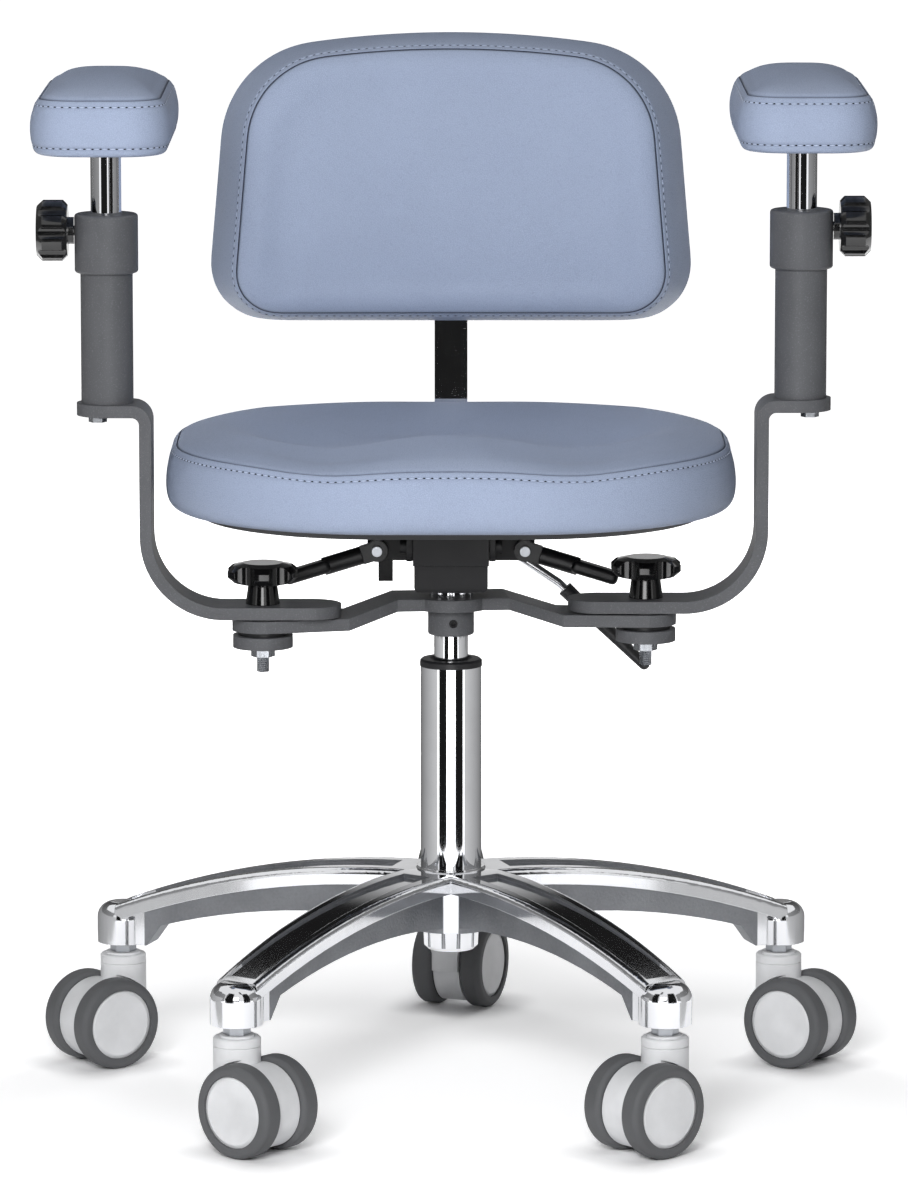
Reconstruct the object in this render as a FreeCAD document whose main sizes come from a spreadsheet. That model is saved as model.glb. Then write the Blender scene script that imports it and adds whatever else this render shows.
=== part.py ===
"""A laboratory chair: star base on twin casters, gas lift, tilting seat and back, swinging armrests.

Millimetres and degrees. The origin is on the floor under the column, +Z is up and the sitter faces -Y.
"""
import FreeCAD, Part
import math
import os

import Sketcher
from FreeCAD import Placement, Rotation, Vector

# Driving dimensions: each is one cell of the Sizes sheet.
SIZES = {
    # star base
    "caster_circle_radius": 290,
    "caster_height": 102,
    "hub_rise": 80,
    "hub_length": 49,
    "hub_diameter": 68,
    "hub_lip": 3,
    "foot_diameter": 43,
    "foot_depth": 34,
    "foot_rounding": 13,
    "arm_root_width": 58,
    "arm_tip_width": 41,
    "arm_crown_depth": 14,
    "arm_arch_radius": 680,
    "arm_edge_rounding": 5,
    "web_width": 28,
    "web_arch_radius": 560,
    "web_toe_reach": 26,
    "web_toe_height": 18,
    "dish_start": 47,
    "dish_end": 283,
    "dish_width": 27,
    "dish_root_depth": 3.5,
    "dish_tip_depth": 1.2,
    # casters
    "wheel_diameter": 76,
    "wheel_spacing": 45,
    "tyre_width": 19,
    "tyre_thickness": 9,
    "tyre_rounding": 5,
    "wheel_clearance": 1,
    "caster_trail": 22,
    "caster_body_width": 24,
    "caster_hood_diameter": 68,
    "caster_barrel_diameter": 38.4,
    "caster_barrel_length": 58,
    "caster_cap_groove": 9,
    "caster_groove_depth": 0.6,
    "caster_groove_width": 0.8,
    "caster_lip_inset": 5,
    "caster_lip_height": 1.8,
    "caster_edge_chamfer": 1.2,
    "wheel_face_inset": 1,
    "wheel_face_chamfer": 3,
    "caster_axle_diameter": 8,
    "stem_diameter": 11,
    "stem_insertion": 26,
    "stem_socket_depth": 34,
    "stem_hex_width": 19,
    "stem_hex_height": 8,
    # column and gas lift
    "column_diameter": 50,
    "column_wall": 2,
    "column_foot_diameter": 44.5,
    "column_drop": 18,
    "column_floor": 4,
    "column_foot_chamfer": 3,
    "bush_flange_height": 6,
    "bush_flange_overhang": 0.6,
    "bush_length": 70,
    "bush_chamfer": 1.5,
    "bush_mouth_width": 4,
    "bush_mouth_depth": 2,
    "lift_rod_diameter": 10,
    "lift_rod_length": 172,
    "lift_rod_head": 15,
    "lift_rod_head_height": 3,
    "bearing_diameter": 30,
    "bearing_height": 8,
    "lift_reserve": 18,
    "cylinder_diameter": 28,
    "cylinder_wall": 1.5,
    "cylinder_plug": 8,
    "cylinder_length": 313,
    "cylinder_show": 20.3,
    "valve_button_diameter": 8,
    "valve_button_height": 6,
    # armrest carrier on the gas lift
    "carrier_grip": 58,
    "carrier_thickness": 10,
    "carrier_width": 50,
    "carrier_drop": 11,
    "carrier_boss_diameter": 62,
    "carrier_shoulder": 46,
    "carrier_slope": 42,
    "carrier_reach": 157.5,
    "carrier_sweep": 30,
    "carrier_turn": 6,
    "carrier_waist_angle": 50,
    "carrier_knee_front": 15,
    "carrier_knee_rear": 40,
    "collar_diameter": 38,
    "collar_height": 22,
    "collar_rounding": 2,
    "set_screw_diameter": 7,
    "set_screw_sink": 0.6,
    "set_screw_key_width": 3.5,
    "set_screw_key_depth": 2.8,
    "ring_nut_diameter": 36,
    "ring_nut_height": 10,
    "ring_nut_slot": 4,
    # swing joint of each armrest
    "stud_diameter": 10,
    "stud_length": 74,
    "nut_width": 17,
    "nut_height": 8,
    "disc_diameter": 49,
    "disc_thickness": 10,
    "lower_washer_diameter": 40,
    "lower_washer_thickness": 4,
    "upper_washer_diameter": 46,
    "upper_washer_thickness": 1.5,
    "knob_diameter": 60,
    "knob_neck_diameter": 28,
    "knob_neck_height": 18,
    "knob_head_height": 16,
    "knob_scallop_radius": 11,
    "knob_scallop_depth": 7.15,
    "knob_neck_taper": 2,
    "knob_underside_drop": 3,
    "knob_underside_inset": 6,
    "knob_lower_shoulder": 5,
    "knob_upper_shoulder": 6,
    "knob_dome_edge": 5,
    "knob_dome_drop": 2,
    "knob_dome_inset": 14,
    # bent armrest bars
    "bar_width": 50,
    "bar_thickness": 10,
    "bar_inner_reach": 64,
    "bar_outer_reach": 99,
    "bar_bend_radius": 68,
    "bar_rise": 165.5,
    "bar_top_bend_radius": 6,
    "post_reach": 125.4,
    # armrest posts
    "post_tube_diameter": 42.4,
    "post_tube_wall": 4,
    "post_tube_length": 126,
    "post_plug_height": 14,
    "post_screw_offset": 8,
    "post_screw_diameter": 8,
    "post_screw_head_width": 13,
    "post_screw_head_height": 6,
    "post_screw_end_gap": 1,
    "clamp_diameter": 51.5,
    "clamp_height": 48,
    "clamp_lap": 20,
    "clamp_rounding": 2.5,
    "rod_diameter": 25,
    "rod_chamfer": 1,
    "rod_length": 174,
    "rod_show": 56,
    "rod_seat": 20,
    "hand_wheel_diameter": 50,
    "hand_wheel_thickness": 25,
    "hand_wheel_neck_diameter": 22,
    "hand_wheel_neck_length": 5,
    "hand_wheel_flute_radius": 6,
    "hand_wheel_flute_depth": 3.3,
    "hand_wheel_rear_chamfer": 4,
    "hand_wheel_front_chamfer": 5,
    "hand_wheel_rim": 6,
    "hand_wheel_dish": 2,
    "hand_wheel_screw_diameter": 8,
    # armrest pads
    "pad_width": 112,
    "pad_length": 248,
    "pad_side_height": 45,
    "pad_crown": 17,
    "pad_corner_radius": 38,
    # tilt mechanism
    "pan_width": 60,
    "pan_height": 23,
    "pan_rear": 60,
    "pan_rounding": 6,
    "socket_diameter": 40,
    "mechanism_width": 62,
    "mechanism_front": 58,
    "mechanism_rear": 118,
    "mechanism_wall": 3,
    "housing_height": 27,
    "axle_diameter": 12,
    "seat_axle_ahead": 38,
    "seat_axle_height": 37,
    "back_axle_behind": 98,
    "back_axle_height": 32,
    "axle_end_show": 5,
    # levers
    "lever_pivot_reach": 61,
    "lever_pivot_behind": 32,
    "lever_pivot_height": 24,
    "bracket_thickness": 12,
    "bracket_width": 18,
    "bracket_overreach": 8,
    "bracket_tab_width": 12,
    "bracket_tab_height": 18,
    "bracket_tab_thickness": 3,
    "bracket_tab_reach": 54,
    "lever_screw_diameter": 5,
    "lever_screw_head_diameter": 8.5,
    "lever_screw_head_height": 3,
    "lever_hub_thickness": 9,
    "lever_sleeve_diameter": 15,
    "lever_sleeve_start": 13,
    "lever_sleeve_length": 33,
    "lever_paddle_length": 34,
    "lever_paddle_width": 20,
    "lever_paddle_thickness": 11,
    "lever_paddle_root": 6,
    "lever_paddle_rounding": 4.4,
    "lever_drop_angle": 17,
    "back_lever_diameter": 7,
    "back_lever_behind": 60,
    "back_lever_start_height": 28,
    "back_lever_angle": 34,
    "back_lever_length": 66,
    "back_lever_barrel": 12,
    "grip_angle": 44,
    "grip_length": 92,
    "grip_insertion": 30,
    "grip_root_diameter": 13,
    "grip_tip_diameter": 9,
    # seat
    "tilt_room": 10,
    "seat_frame_thickness": 4,
    "seat_frame_width": 190,
    "seat_frame_length": 250,
    "seat_ear_thickness": 5,
    "seat_ear_width": 26,
    "seat_shell_thickness": 6,
    "seat_shell_inset": 22,
    "seat_width": 464,
    "seat_depth": 430,
    "seat_front_corner_radius": 175,
    "seat_rear_corner_radius": 188,
    "seat_side_height": 51,
    "seat_crown": 14,
    "seat_thigh_radius": 400,
    "seat_thigh_spread": 92,
    "seat_thigh_ahead": 140,
    "seat_thigh_depth": 9,
    "seat_hollow_radius": 900,
    "seat_hollow_depth": 11,
    "seat_hollow_behind": 35,
    # back
    "back_width": 418,
    "back_shoulder_width": 380,
    "back_height": 246,
    "back_ridge": 5,
    "back_shoulder_drop": 19,
    "back_top_arch_radius": 860,
    "back_top_corner_radius": 89,
    "back_bottom_corner_radius": 48,
    "back_thickness": 62,
    "back_seam_inset": 24,
    "back_curve_radius": 1150,
    "back_shell_thickness": 12,
    "back_shell_inset": 12,
    "back_shell_bevel": 22,
    "back_recline": 6,
    "back_centre_height": 733,
    "back_plane_behind": 248,
    "back_bar_width": 28,
    "back_bar_thickness": 12,
    "back_bar_bend_radius": 60,
    "back_bar_overlap": 40,
    "back_eye_diameter": 26,
    # clearances and the overrun of cutting tools
    "press_clearance": 0.05,
    "running_clearance": 0.1,
    "swing_clearance": 0.3,
    "cutting_overrun": 10,
}

# Levels and places that follow from the driving dimensions: each is one formula of the Places sheet.
PLACES = {
    "hub_top": "Sizes.caster_height + Sizes.hub_rise",
    "hub_bottom": "Places.hub_top - Sizes.hub_length",
    "foot_top": "Sizes.caster_height + Sizes.foot_depth",
    "arch_fall": "Places.hub_top - Places.foot_top",
    "arch_chord": "sqrt(Sizes.caster_circle_radius ^ 2 + Places.arch_fall ^ 2)",
    "arch_apothem": "sqrt(Sizes.arm_arch_radius ^ 2 - Places.arch_chord ^ 2 / 4)",
    "arch_centre_r": "Sizes.caster_circle_radius / 2"
                     " - Places.arch_fall / Places.arch_chord * Places.arch_apothem",
    "arch_centre_z": "(Places.hub_top + Places.foot_top) / 2"
                     " - Sizes.caster_circle_radius / Places.arch_chord * Places.arch_apothem",
    "dish_start_z": "Places.arch_centre_z - Sizes.dish_root_depth"
                    " + sqrt(Sizes.arm_arch_radius ^ 2 - (Sizes.dish_start - Places.arch_centre_r) ^ 2)",
    "dish_end_z": "Places.arch_centre_z - Sizes.dish_tip_depth"
                  " + sqrt(Sizes.arm_arch_radius ^ 2 - (Sizes.dish_end - Places.arch_centre_r) ^ 2)",
    "column_bottom": "Places.hub_bottom - Sizes.column_drop",
    "column_radius": "Sizes.column_diameter / 2",
    "column_foot_radius": "Sizes.column_foot_diameter / 2",
    "column_hub_radius": "Places.column_foot_radius + (Places.column_radius - Places.column_foot_radius)"
                         " * Sizes.column_drop / (Sizes.column_drop + Sizes.hub_length)",
    "wheel_radius": "Sizes.wheel_diameter / 2",
    "barrel_top": "Sizes.caster_height - Sizes.stem_hex_height - Sizes.swing_clearance",
    "bearing_bottom": "Places.column_bottom + Sizes.column_floor + Sizes.swing_clearance",
    "bearing_top": "Places.bearing_bottom + Sizes.bearing_height",
    "cylinder_radius": "Sizes.cylinder_diameter / 2",
    "cylinder_bottom": "Places.bearing_top + Sizes.lift_reserve",
    "cylinder_top": "Places.cylinder_bottom + Sizes.cylinder_length",
    "carrier_bottom": "Places.cylinder_top - Sizes.carrier_grip",
    "column_top": "Places.carrier_bottom - Sizes.collar_height"
                  " - Sizes.cylinder_show - Sizes.bush_flange_height",
    "carrier_top": "Places.carrier_bottom + Sizes.carrier_thickness",
    "wing_bottom": "Places.carrier_bottom - Sizes.carrier_drop",
    "wing_top": "Places.wing_bottom + Sizes.carrier_thickness",
    "bar_bottom": "Places.wing_top + Sizes.upper_washer_thickness",
    "bar_top": "Places.bar_bottom + Sizes.bar_thickness",
    "disc_top": "Places.wing_bottom - Sizes.lower_washer_thickness",
    "disc_bottom": "Places.disc_top - Sizes.disc_thickness",
    "stud_bottom": "Places.bar_top + Sizes.knob_neck_height - Sizes.stud_length",
    "pivot_left_x": "-Sizes.carrier_reach * cos(Sizes.carrier_turn)"
                    " + Sizes.carrier_sweep * sin(Sizes.carrier_turn)",
    "pivot_left_y": "-Sizes.carrier_reach * sin(Sizes.carrier_turn)"
                    " - Sizes.carrier_sweep * cos(Sizes.carrier_turn)",
    "pivot_right_x": "Sizes.carrier_reach * cos(Sizes.carrier_turn)"
                     " + Sizes.carrier_sweep * sin(Sizes.carrier_turn)",
    "pivot_right_y": "Sizes.carrier_reach * sin(Sizes.carrier_turn)"
                     " - Sizes.carrier_sweep * cos(Sizes.carrier_turn)",
    "post_left_x": "Places.pivot_left_x - Sizes.post_reach",
    "post_right_x": "Places.pivot_right_x + Sizes.post_reach",
    "post_bottom": "Places.bar_bottom + Sizes.bar_rise + Sizes.bar_thickness",
    "tube_top": "Places.post_bottom + Sizes.post_tube_length",
    "clamp_bottom": "Places.tube_top - Sizes.clamp_lap",
    "clamp_top": "Places.clamp_bottom + Sizes.clamp_height",
    "clamp_middle": "(Places.clamp_bottom + Places.clamp_top + Sizes.clamp_lap) / 2",
    "pad_bottom": "Places.clamp_top + Sizes.rod_show",
    "rod_top": "Places.pad_bottom + Sizes.rod_seat",
    "pan_bottom": "Places.carrier_top + Sizes.ring_nut_height",
    "housing_bottom": "Places.pan_bottom + Sizes.pan_height",
    "housing_top": "Places.housing_bottom + Sizes.housing_height",
    "seat_axle_z": "Places.pan_bottom + Sizes.seat_axle_height",
    "back_axle_z": "Places.pan_bottom + Sizes.back_axle_height",
    "lever_pivot_z": "Places.pan_bottom + Sizes.lever_pivot_height",
    "lever_face_y": "Sizes.lever_pivot_behind - Sizes.bracket_thickness / 2 - Sizes.swing_clearance",
    "back_lever_z": "Places.pan_bottom + Sizes.back_lever_start_height",
    "frame_bottom": "Places.housing_top + Sizes.tilt_room",
    "seat_shell_bottom": "Places.frame_bottom + Sizes.seat_frame_thickness",
    "cushion_bottom": "Places.seat_shell_bottom + Sizes.seat_shell_thickness",
}

CASTER_NAMES = ["right", "rear", "left", "front_left", "front_right"]
CASTER_ANGLES = [18, 90, 162, 234, 306]
CASTER_TRAIL_ANGLES = [-35, 68, 215, -40, 220]
SIDES = {"left": -1, "right": 1}
RING_NUT_SLOTS = 12
HAND_WHEEL_FLUTES = 8
KNOB_LOBES = 6
LEAST_RADIUS = 2
TOLERANCE = 0.01

# Outlines of the cushions: share of the side's height, share of the crown's height, inset of the outline.
PAD_LAYERS = [(0, 0, 7), (0.12, 0, 2), (0.45, 0, 0), (0.85, 0, 2),
              (1, 0, 6), (1, 0.45, 13), (1, 0.85, 22), (1, 1, 31)]
SEAT_LAYERS = [(0, 0, 16), (0.1, 0, 6), (0.45, 0, 0), (0.82, 0, 3),
               (1, 0, 9), (1, 0.5, 28), (1, 0.85, 55), (1, 1, 90)]
# The back: share of its thickness, share of its hollow, then a share of the seam's inset and a rounding,
# first at its sides and then at its ends.
BACK_LAYERS = [(0, 0, 0, 8, 0, 5), (0.12, 0, 0, 2, 0, 1), (0.35, 0, 0, 0, 0, 0), (0.75, 0, 0, 8, 0, 3),
               (0.95, 0, 0.7, 0, 0.3, 0), (1, 0.3, 1, 6, 0.6, 0), (1, 1, 1, 30, 1, 6)]
# The back's shell: share of its thickness, share of its bevel.
SHELL_LAYERS = [(0, 0), (0.5, 0.14), (0.85, 0.5), (1, 1)]

doc = FreeCAD.newDocument("laboratory_chair")
subparts = []


def fill_sheet(name, rows):
    """Make a spreadsheet with one aliased cell per row."""
    sheet = doc.addObject("Spreadsheet::Sheet", name)
    for row, (alias, content) in enumerate(rows.items(), start=1):
        sheet.set(f"A{row}", alias.replace("_", " "))
        sheet.set(f"B{row}", content if isinstance(content, str) else str(content))
        sheet.setAlias(f"B{row}", alias)
    return sheet


sizes = fill_sheet("Sizes", SIZES)
fill_sheet("Places", {alias: "=" + formula for alias, formula in PLACES.items()})
doc.recompute()


def number(expression):
    """The present value of an expression."""
    return float(sizes.evalExpression(expression))


def bind(thing, prop, expression):
    """Tie a property to an expression."""
    thing.setExpression(prop, expression)


def place(thing, x="0", y="0", z="0", turn=None, axis=Vector(0, 0, 1)):
    """Tie a placement to expressions: a point and, where given, a turn about an axis."""
    if turn is not None:
        thing.Placement = Placement(Vector(), Rotation(axis, 1))
        bind(thing, "Placement.Rotation.Angle", turn)
    for name, expression in zip("xyz", (x, y, z)):
        bind(thing, f"Placement.Base.{name}", expression)
    return thing


def keep(thing, label):
    """Name a finished sub-part."""
    thing.Label = label
    subparts.append(thing)
    return thing


# Sketches and features of bodies

def arc_through(start, end, radius, turn):
    """The arc from start to end, under a half circle; turn is 1 for anticlockwise, -1 for clockwise."""
    across = Vector(end[0] - start[0], end[1] - start[1], 0)
    normal = Vector(-across.y, across.x, 0).normalize()
    height = math.sqrt(max(radius ** 2 - across.Length ** 2 / 4, 0))
    middle = Vector((start[0] + end[0]) / 2, (start[1] + end[1]) / 2, 0)
    crest = middle + normal * (turn * (height - radius))
    ends = (Vector(*start, 0), Vector(*end, 0))
    return Part.Arc(ends[0], crest, ends[1]) if turn > 0 else Part.Arc(ends[1], crest, ends[0])


def add_loop(sketch, loop):
    """Draw a closed loop of (x, y) or (x, y, radius, turn) corners, each tied to its expressions."""
    first = len(sketch.Geometry)
    points = [(number(corner[0]), number(corner[1])) for corner in loop]
    ends = []
    for index, corner in enumerate(loop):
        start, end = points[index], points[(index + 1) % len(loop)]
        if len(corner) == 2:
            sketch.addGeometry(Part.LineSegment(Vector(*start, 0), Vector(*end, 0)))
        else:
            sketch.addGeometry(arc_through(start, end, number(corner[2]), corner[3]))
        ends.append((1, 2) if len(corner) == 2 or corner[3] > 0 else (2, 1))
    for index in range(len(loop)):
        after = (index + 1) % len(loop)
        sketch.addConstraint(Sketcher.Constraint("Coincident", first + index, ends[index][1],
                                                 first + after, ends[after][0]))
    for index, corner in enumerate(loop):
        for kind, expression, value in zip(("DistanceX", "DistanceY"), corner, points[index]):
            add_dimension(sketch, (kind, -1, 1, first + index, ends[index][0], value), expression)
        if len(corner) == 4:
            add_dimension(sketch, ("Radius", first + index, number(corner[2])), corner[2])


def add_dimension(sketch, constraint, expression):
    """Add one dimension to a sketch and tie it to its expression."""
    index = sketch.addConstraint(Sketcher.Constraint(*constraint))
    if expression != "0":
        sketch.renameConstraint(index, f"size_{index}")
        bind(sketch, f"Constraints.size_{index}", expression)


def add_circle(sketch, x, y, radius):
    """Draw a circle tied to its expressions."""
    index = len(sketch.Geometry)
    sketch.addGeometry(Part.Circle(Vector(number(x), number(y), 0), Vector(0, 0, 1), number(radius)))
    add_dimension(sketch, ("DistanceX", -1, 1, index, 3, number(x)), x)
    add_dimension(sketch, ("DistanceY", -1, 1, index, 3, number(y)), y)
    add_dimension(sketch, ("Radius", index, number(radius)), radius)


def new_sketch(body, plane, loops=(), circles=(), level="0"):
    """A sketch on one of the body's own planes, at a level along the plane's normal."""
    sketch = body.newObject("Sketcher::SketchObject", body.Label + "_sketch")
    support = [feature for feature in body.Origin.OriginFeatures if feature.Role == plane][0]
    sketch.AttachmentSupport = [(support, "")]
    sketch.MapMode = "FlatFace"
    if level != "0":
        bind(sketch, "AttachmentOffset.Base.z", level)
    for loop in loops:
        add_loop(sketch, loop)
    for circle in circles:
        add_circle(sketch, *circle)
    return sketch


def new_body(label):
    return keep(doc.addObject("PartDesign::Body", label), label)


def settle(feature):
    """Recompute and stop at a feature that failed."""
    doc.recompute()
    if "Invalid" in feature.State or feature.Shape.isNull():
        raise RuntimeError(f"{feature.Label} failed")
    return feature


def pad(body, sketch, length, symmetric=False, backwards=False):
    feature = body.newObject("PartDesign::Pad", body.Label + "_pad")
    feature.Profile = sketch
    bind(feature, "Length", length)
    feature.SideType = "Symmetric" if symmetric else "One side"
    feature.Reversed = backwards
    return settle(feature)


def pocket(body, sketch, length=None, backwards=False, symmetric=False):
    """Cut a sketch to a length, or right through both ways."""
    before = body.Shape.Volume
    feature = body.newObject("PartDesign::Pocket", body.Label + "_pocket")
    feature.Profile = sketch
    if length is None:
        feature.SideType = "Symmetric"
        feature.Type = "ThroughAll"
    else:
        bind(feature, "Length", length)
        feature.SideType = "Symmetric" if symmetric else "One side"
        feature.Reversed = backwards
    settle(feature)
    if body.Shape.Volume >= before:
        raise RuntimeError(f"a pocket of {body.Label} cuts nothing")
    return feature


def revolve(body, sketch, kind="Revolution", axis="V_Axis"):
    feature = body.newObject("PartDesign::" + kind, body.Label + "_" + kind.lower())
    feature.Profile = sketch
    feature.ReferenceAxis = (sketch, [axis])
    feature.Angle = 360
    return settle(feature)


def polar(body, occurrences, features=None, axis="Z_Axis"):
    """Repeat features, or the whole shape, about one of the body's axes."""
    pattern = body.newObject("PartDesign::PolarPattern", body.Label + "_pattern")
    if features is None:
        pattern.TransformMode = "Whole shape"
    else:
        pattern.Originals = features
    line = [feature for feature in body.Origin.OriginFeatures if feature.Role == axis][0]
    pattern.Axis = (line, [""])
    pattern.Angle = 360
    pattern.Occurrences = occurrences
    body.Tip = pattern
    return settle(pattern)


def fillet(body, test, radius):
    """Round the edges of the body that pass a test."""
    base = body.Tip
    edges = [f"Edge{index}" for index, edge in enumerate(base.Shape.Edges, start=1) if test(edge)]
    feature = body.newObject("PartDesign::Fillet", body.Label + "_fillet")
    feature.Base = (base, edges)
    bind(feature, "Radius", radius)
    return settle(feature)


def is_circle(edge, radius, level, axis=2):
    """Whether an edge is a circle of this radius at this level along an axis."""
    return (isinstance(edge.Curve, Part.Circle)
            and abs(edge.Curve.Radius - radius) < TOLERANCE
            and abs(edge.Curve.Center[axis] - level) < TOLERANCE)


def turned(label, loop, plane="XZ_Plane"):
    """A lathe-turned piece: a half profile of (radius, height) corners spun about the body's axis."""
    body = new_body(label)
    revolve(body, new_sketch(body, plane, [loop]))
    return body


def ring(label, inner, outer, bottom, top):
    """A turned ring between two radii and two heights."""
    return turned(label, [(inner, bottom), (outer, bottom), (outer, top), (inner, top)])


# Primitives and booleans

def cylinder(radius, length, x="0", y="0", z="0", axis="z"):
    thing = doc.addObject("Part::Cylinder", "round")
    bind(thing, "Radius", radius)
    bind(thing, "Height", length)
    turns = {"x": Rotation(Vector(0, 1, 0), 90), "y": Rotation(Vector(1, 0, 0), -90), "z": Rotation()}
    thing.Placement = Placement(Vector(), turns[axis])
    return place(thing, x, y, z)


def box(length, width, height, x="0", y="0", z="0"):
    """A box whose x and y are its centre and whose z is its underside."""
    thing = doc.addObject("Part::Box", "block")
    for prop, expression in (("Length", length), ("Width", width), ("Height", height)):
        bind(thing, prop, expression)
    return place(thing, f"{x} - ({length}) / 2", f"{y} - ({width}) / 2", z)


def prism(width, height, x="0", y="0", z="0"):
    """A hexagonal prism, width across its flats."""
    thing = doc.addObject("Part::Prism", "hexagon")
    thing.Polygon = 6
    bind(thing, "Circumradius", f"({width}) / sqrt(3)")
    bind(thing, "Height", height)
    return place(thing, x, y, z)


def fuse(*things):
    joined = doc.addObject("Part::MultiFuse", "joined")
    joined.Shapes = list(things)
    return joined


def cut(base, *tools):
    result = doc.addObject("Part::Cut", "cut")
    result.Base = base
    result.Tool = tools[0] if len(tools) == 1 else fuse(*tools)
    return result


def group(*things):
    compound = doc.addObject("Part::Compound", "group")
    compound.Links = list(things)
    return compound


def round_edges(base, test, radius):
    """Round the edges of a finished shape that pass a test."""
    doc.recompute()
    rounded = doc.addObject("Part::Fillet", "rounded")
    rounded.Base = base
    size = number(radius)
    rounded.Edges = [(index, size, size)
                     for index, edge in enumerate(base.Shape.Edges, start=1) if test(edge)]
    return rounded


# Star base

def make_base_star():
    reach = "Sizes.caster_circle_radius"
    star = new_body("base_star")
    half_root = "Sizes.arm_root_width / 2"
    half_tip = "Sizes.arm_tip_width / 2"
    plan = [("0", f"-{half_root}"), (reach, f"-{half_tip}"), (reach, half_tip), ("0", half_root)]
    pad(star, new_sketch(star, "XY_Plane", [plan]), "Places.hub_top + Sizes.arm_crown_depth")
    under_root = "Places.hub_top - Sizes.arm_crown_depth"
    under_tip = "Places.foot_top - Sizes.arm_crown_depth"
    arch = "Sizes.arm_arch_radius"
    crown = [("0", "Places.hub_top", arch, -1), (reach, "Places.foot_top"),
             (reach, under_tip, arch, 1), ("0", under_root)]
    over = "Sizes.cutting_overrun"
    above = f"Places.hub_top + Sizes.arm_crown_depth + {over}"
    frame = [(f"-{over}", f"-{over}"), (f"{reach} + {over}", f"-{over}"),
             (f"{reach} + {over}", above), (f"-{over}", above)]
    pocket(star, new_sketch(star, "XZ_Plane", [frame, crown]))
    long_edges = sorted((edge for edge in star.Shape.Edges if edge.Length > number(f"{reach} - {half_root}")),
                        key=lambda edge: edge.CenterOfMass.z)
    crests = [edge.CenterOfMass for edge in long_edges[-2:]]
    fillet(star, lambda edge: any(edge.CenterOfMass.isEqual(crest, TOLERANCE) for crest in crests),
           "Sizes.arm_edge_rounding")
    web = [("0", f"{under_root} + Sizes.arm_crown_depth / 2", arch, -1),
           (reach, f"{under_tip} + Sizes.arm_crown_depth / 2"),
           (reach, "Sizes.caster_height"), (f"{reach} - Sizes.web_toe_reach", "Sizes.caster_height"),
           (f"{reach} - Sizes.web_toe_reach * 1.5", "Sizes.caster_height + Sizes.web_toe_height",
            "Sizes.web_arch_radius", 1), ("0", "Places.hub_bottom")]
    pad(star, new_sketch(star, "XZ_Plane", [web]), "Sizes.web_width", symmetric=True)
    edge_of_foot = f"{reach} + Sizes.foot_diameter / 2"
    foot = [(reach, "Sizes.caster_height"), (edge_of_foot, "Sizes.caster_height"),
            (edge_of_foot, "Places.foot_top - Sizes.foot_rounding", "Sizes.foot_rounding", 1),
            (f"{edge_of_foot} - Sizes.foot_rounding", "Places.foot_top"), (reach, "Places.foot_top")]
    sketch = new_sketch(star, "XZ_Plane", [foot])
    foot_axis = [Vector(number(reach), 0, 0), Vector(number(reach), number("Sizes.foot_depth"), 0)]
    sketch.addGeometry(Part.LineSegment(*foot_axis), True)
    axis_line = len(sketch.Geometry) - 1
    add_dimension(sketch, ("DistanceX", -1, 1, axis_line, 1, number(reach)), reach)
    add_dimension(sketch, ("DistanceX", -1, 1, axis_line, 2, number(reach)), reach)
    revolve(star, sketch, axis="Axis0")
    hole = new_sketch(star, "XY_Plane", level="Sizes.caster_height",
                      circles=[(reach, "0", "Sizes.stem_diameter / 2 + Sizes.press_clearance")])
    pocket(star, hole, "Sizes.stem_insertion", backwards=True)
    dish = [("Sizes.dish_start", "Places.dish_start_z", arch, -1), ("Sizes.dish_end", "Places.dish_end_z"),
            ("Sizes.dish_end", above), ("Sizes.dish_start", above)]
    pocket(star, new_sketch(star, "XZ_Plane", [dish]), "Sizes.dish_width", symmetric=True)
    polar(star, len(CASTER_NAMES))
    lip_top = "Places.hub_top + Sizes.hub_lip"
    hub_edge = "Sizes.hub_diameter / 2"
    hub = [("0", "Places.hub_bottom"), (hub_edge, "Places.hub_bottom"),
           (hub_edge, "Places.hub_top - Sizes.arm_crown_depth"),
           ("Places.column_radius + Sizes.hub_lip", lip_top), ("0", lip_top)]
    revolve(star, new_sketch(star, "XZ_Plane", [hub]))
    fit = "Sizes.press_clearance"
    bore = [("0", "Places.hub_bottom"), (f"Places.column_hub_radius + {fit}", "Places.hub_bottom"),
            (f"Places.column_radius + {fit}", "Places.hub_top"),
            (f"Places.column_radius + {fit}", lip_top), ("0", lip_top)]
    revolve(star, new_sketch(star, "XZ_Plane", [bore]), kind="Groove")
    place(star, turn=str(CASTER_ANGLES[0]))


def caster_place(index, trail="0"):
    """Where a caster stands: its stem, or a point behind it by the trail."""
    angle, heading = CASTER_ANGLES[index], CASTER_TRAIL_ANGLES[index]
    x = f"Sizes.caster_circle_radius * cos({angle}) + {trail} * cos({heading})"
    y = f"Sizes.caster_circle_radius * sin({angle}) + {trail} * sin({heading})"
    return x, y, heading


def make_caster_stems():
    """The pins that hold the casters, each with a hexagon between the foot and the caster."""
    stems = []
    for index in range(len(CASTER_NAMES)):
        x, y, heading = caster_place(index)
        hexagon = prism("Sizes.stem_hex_width", "Sizes.stem_hex_height", x, y,
                        "Sizes.caster_height - Sizes.stem_hex_height")
        pin = cylinder("Sizes.stem_diameter / 2",
                       "Sizes.stem_insertion + Sizes.stem_hex_height + Sizes.stem_socket_depth", x, y,
                       "Sizes.caster_height - Sizes.stem_hex_height - Sizes.stem_socket_depth")
        stems.append(fuse(hexagon, pin))
    keep(group(*stems), "caster_stems")


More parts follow.
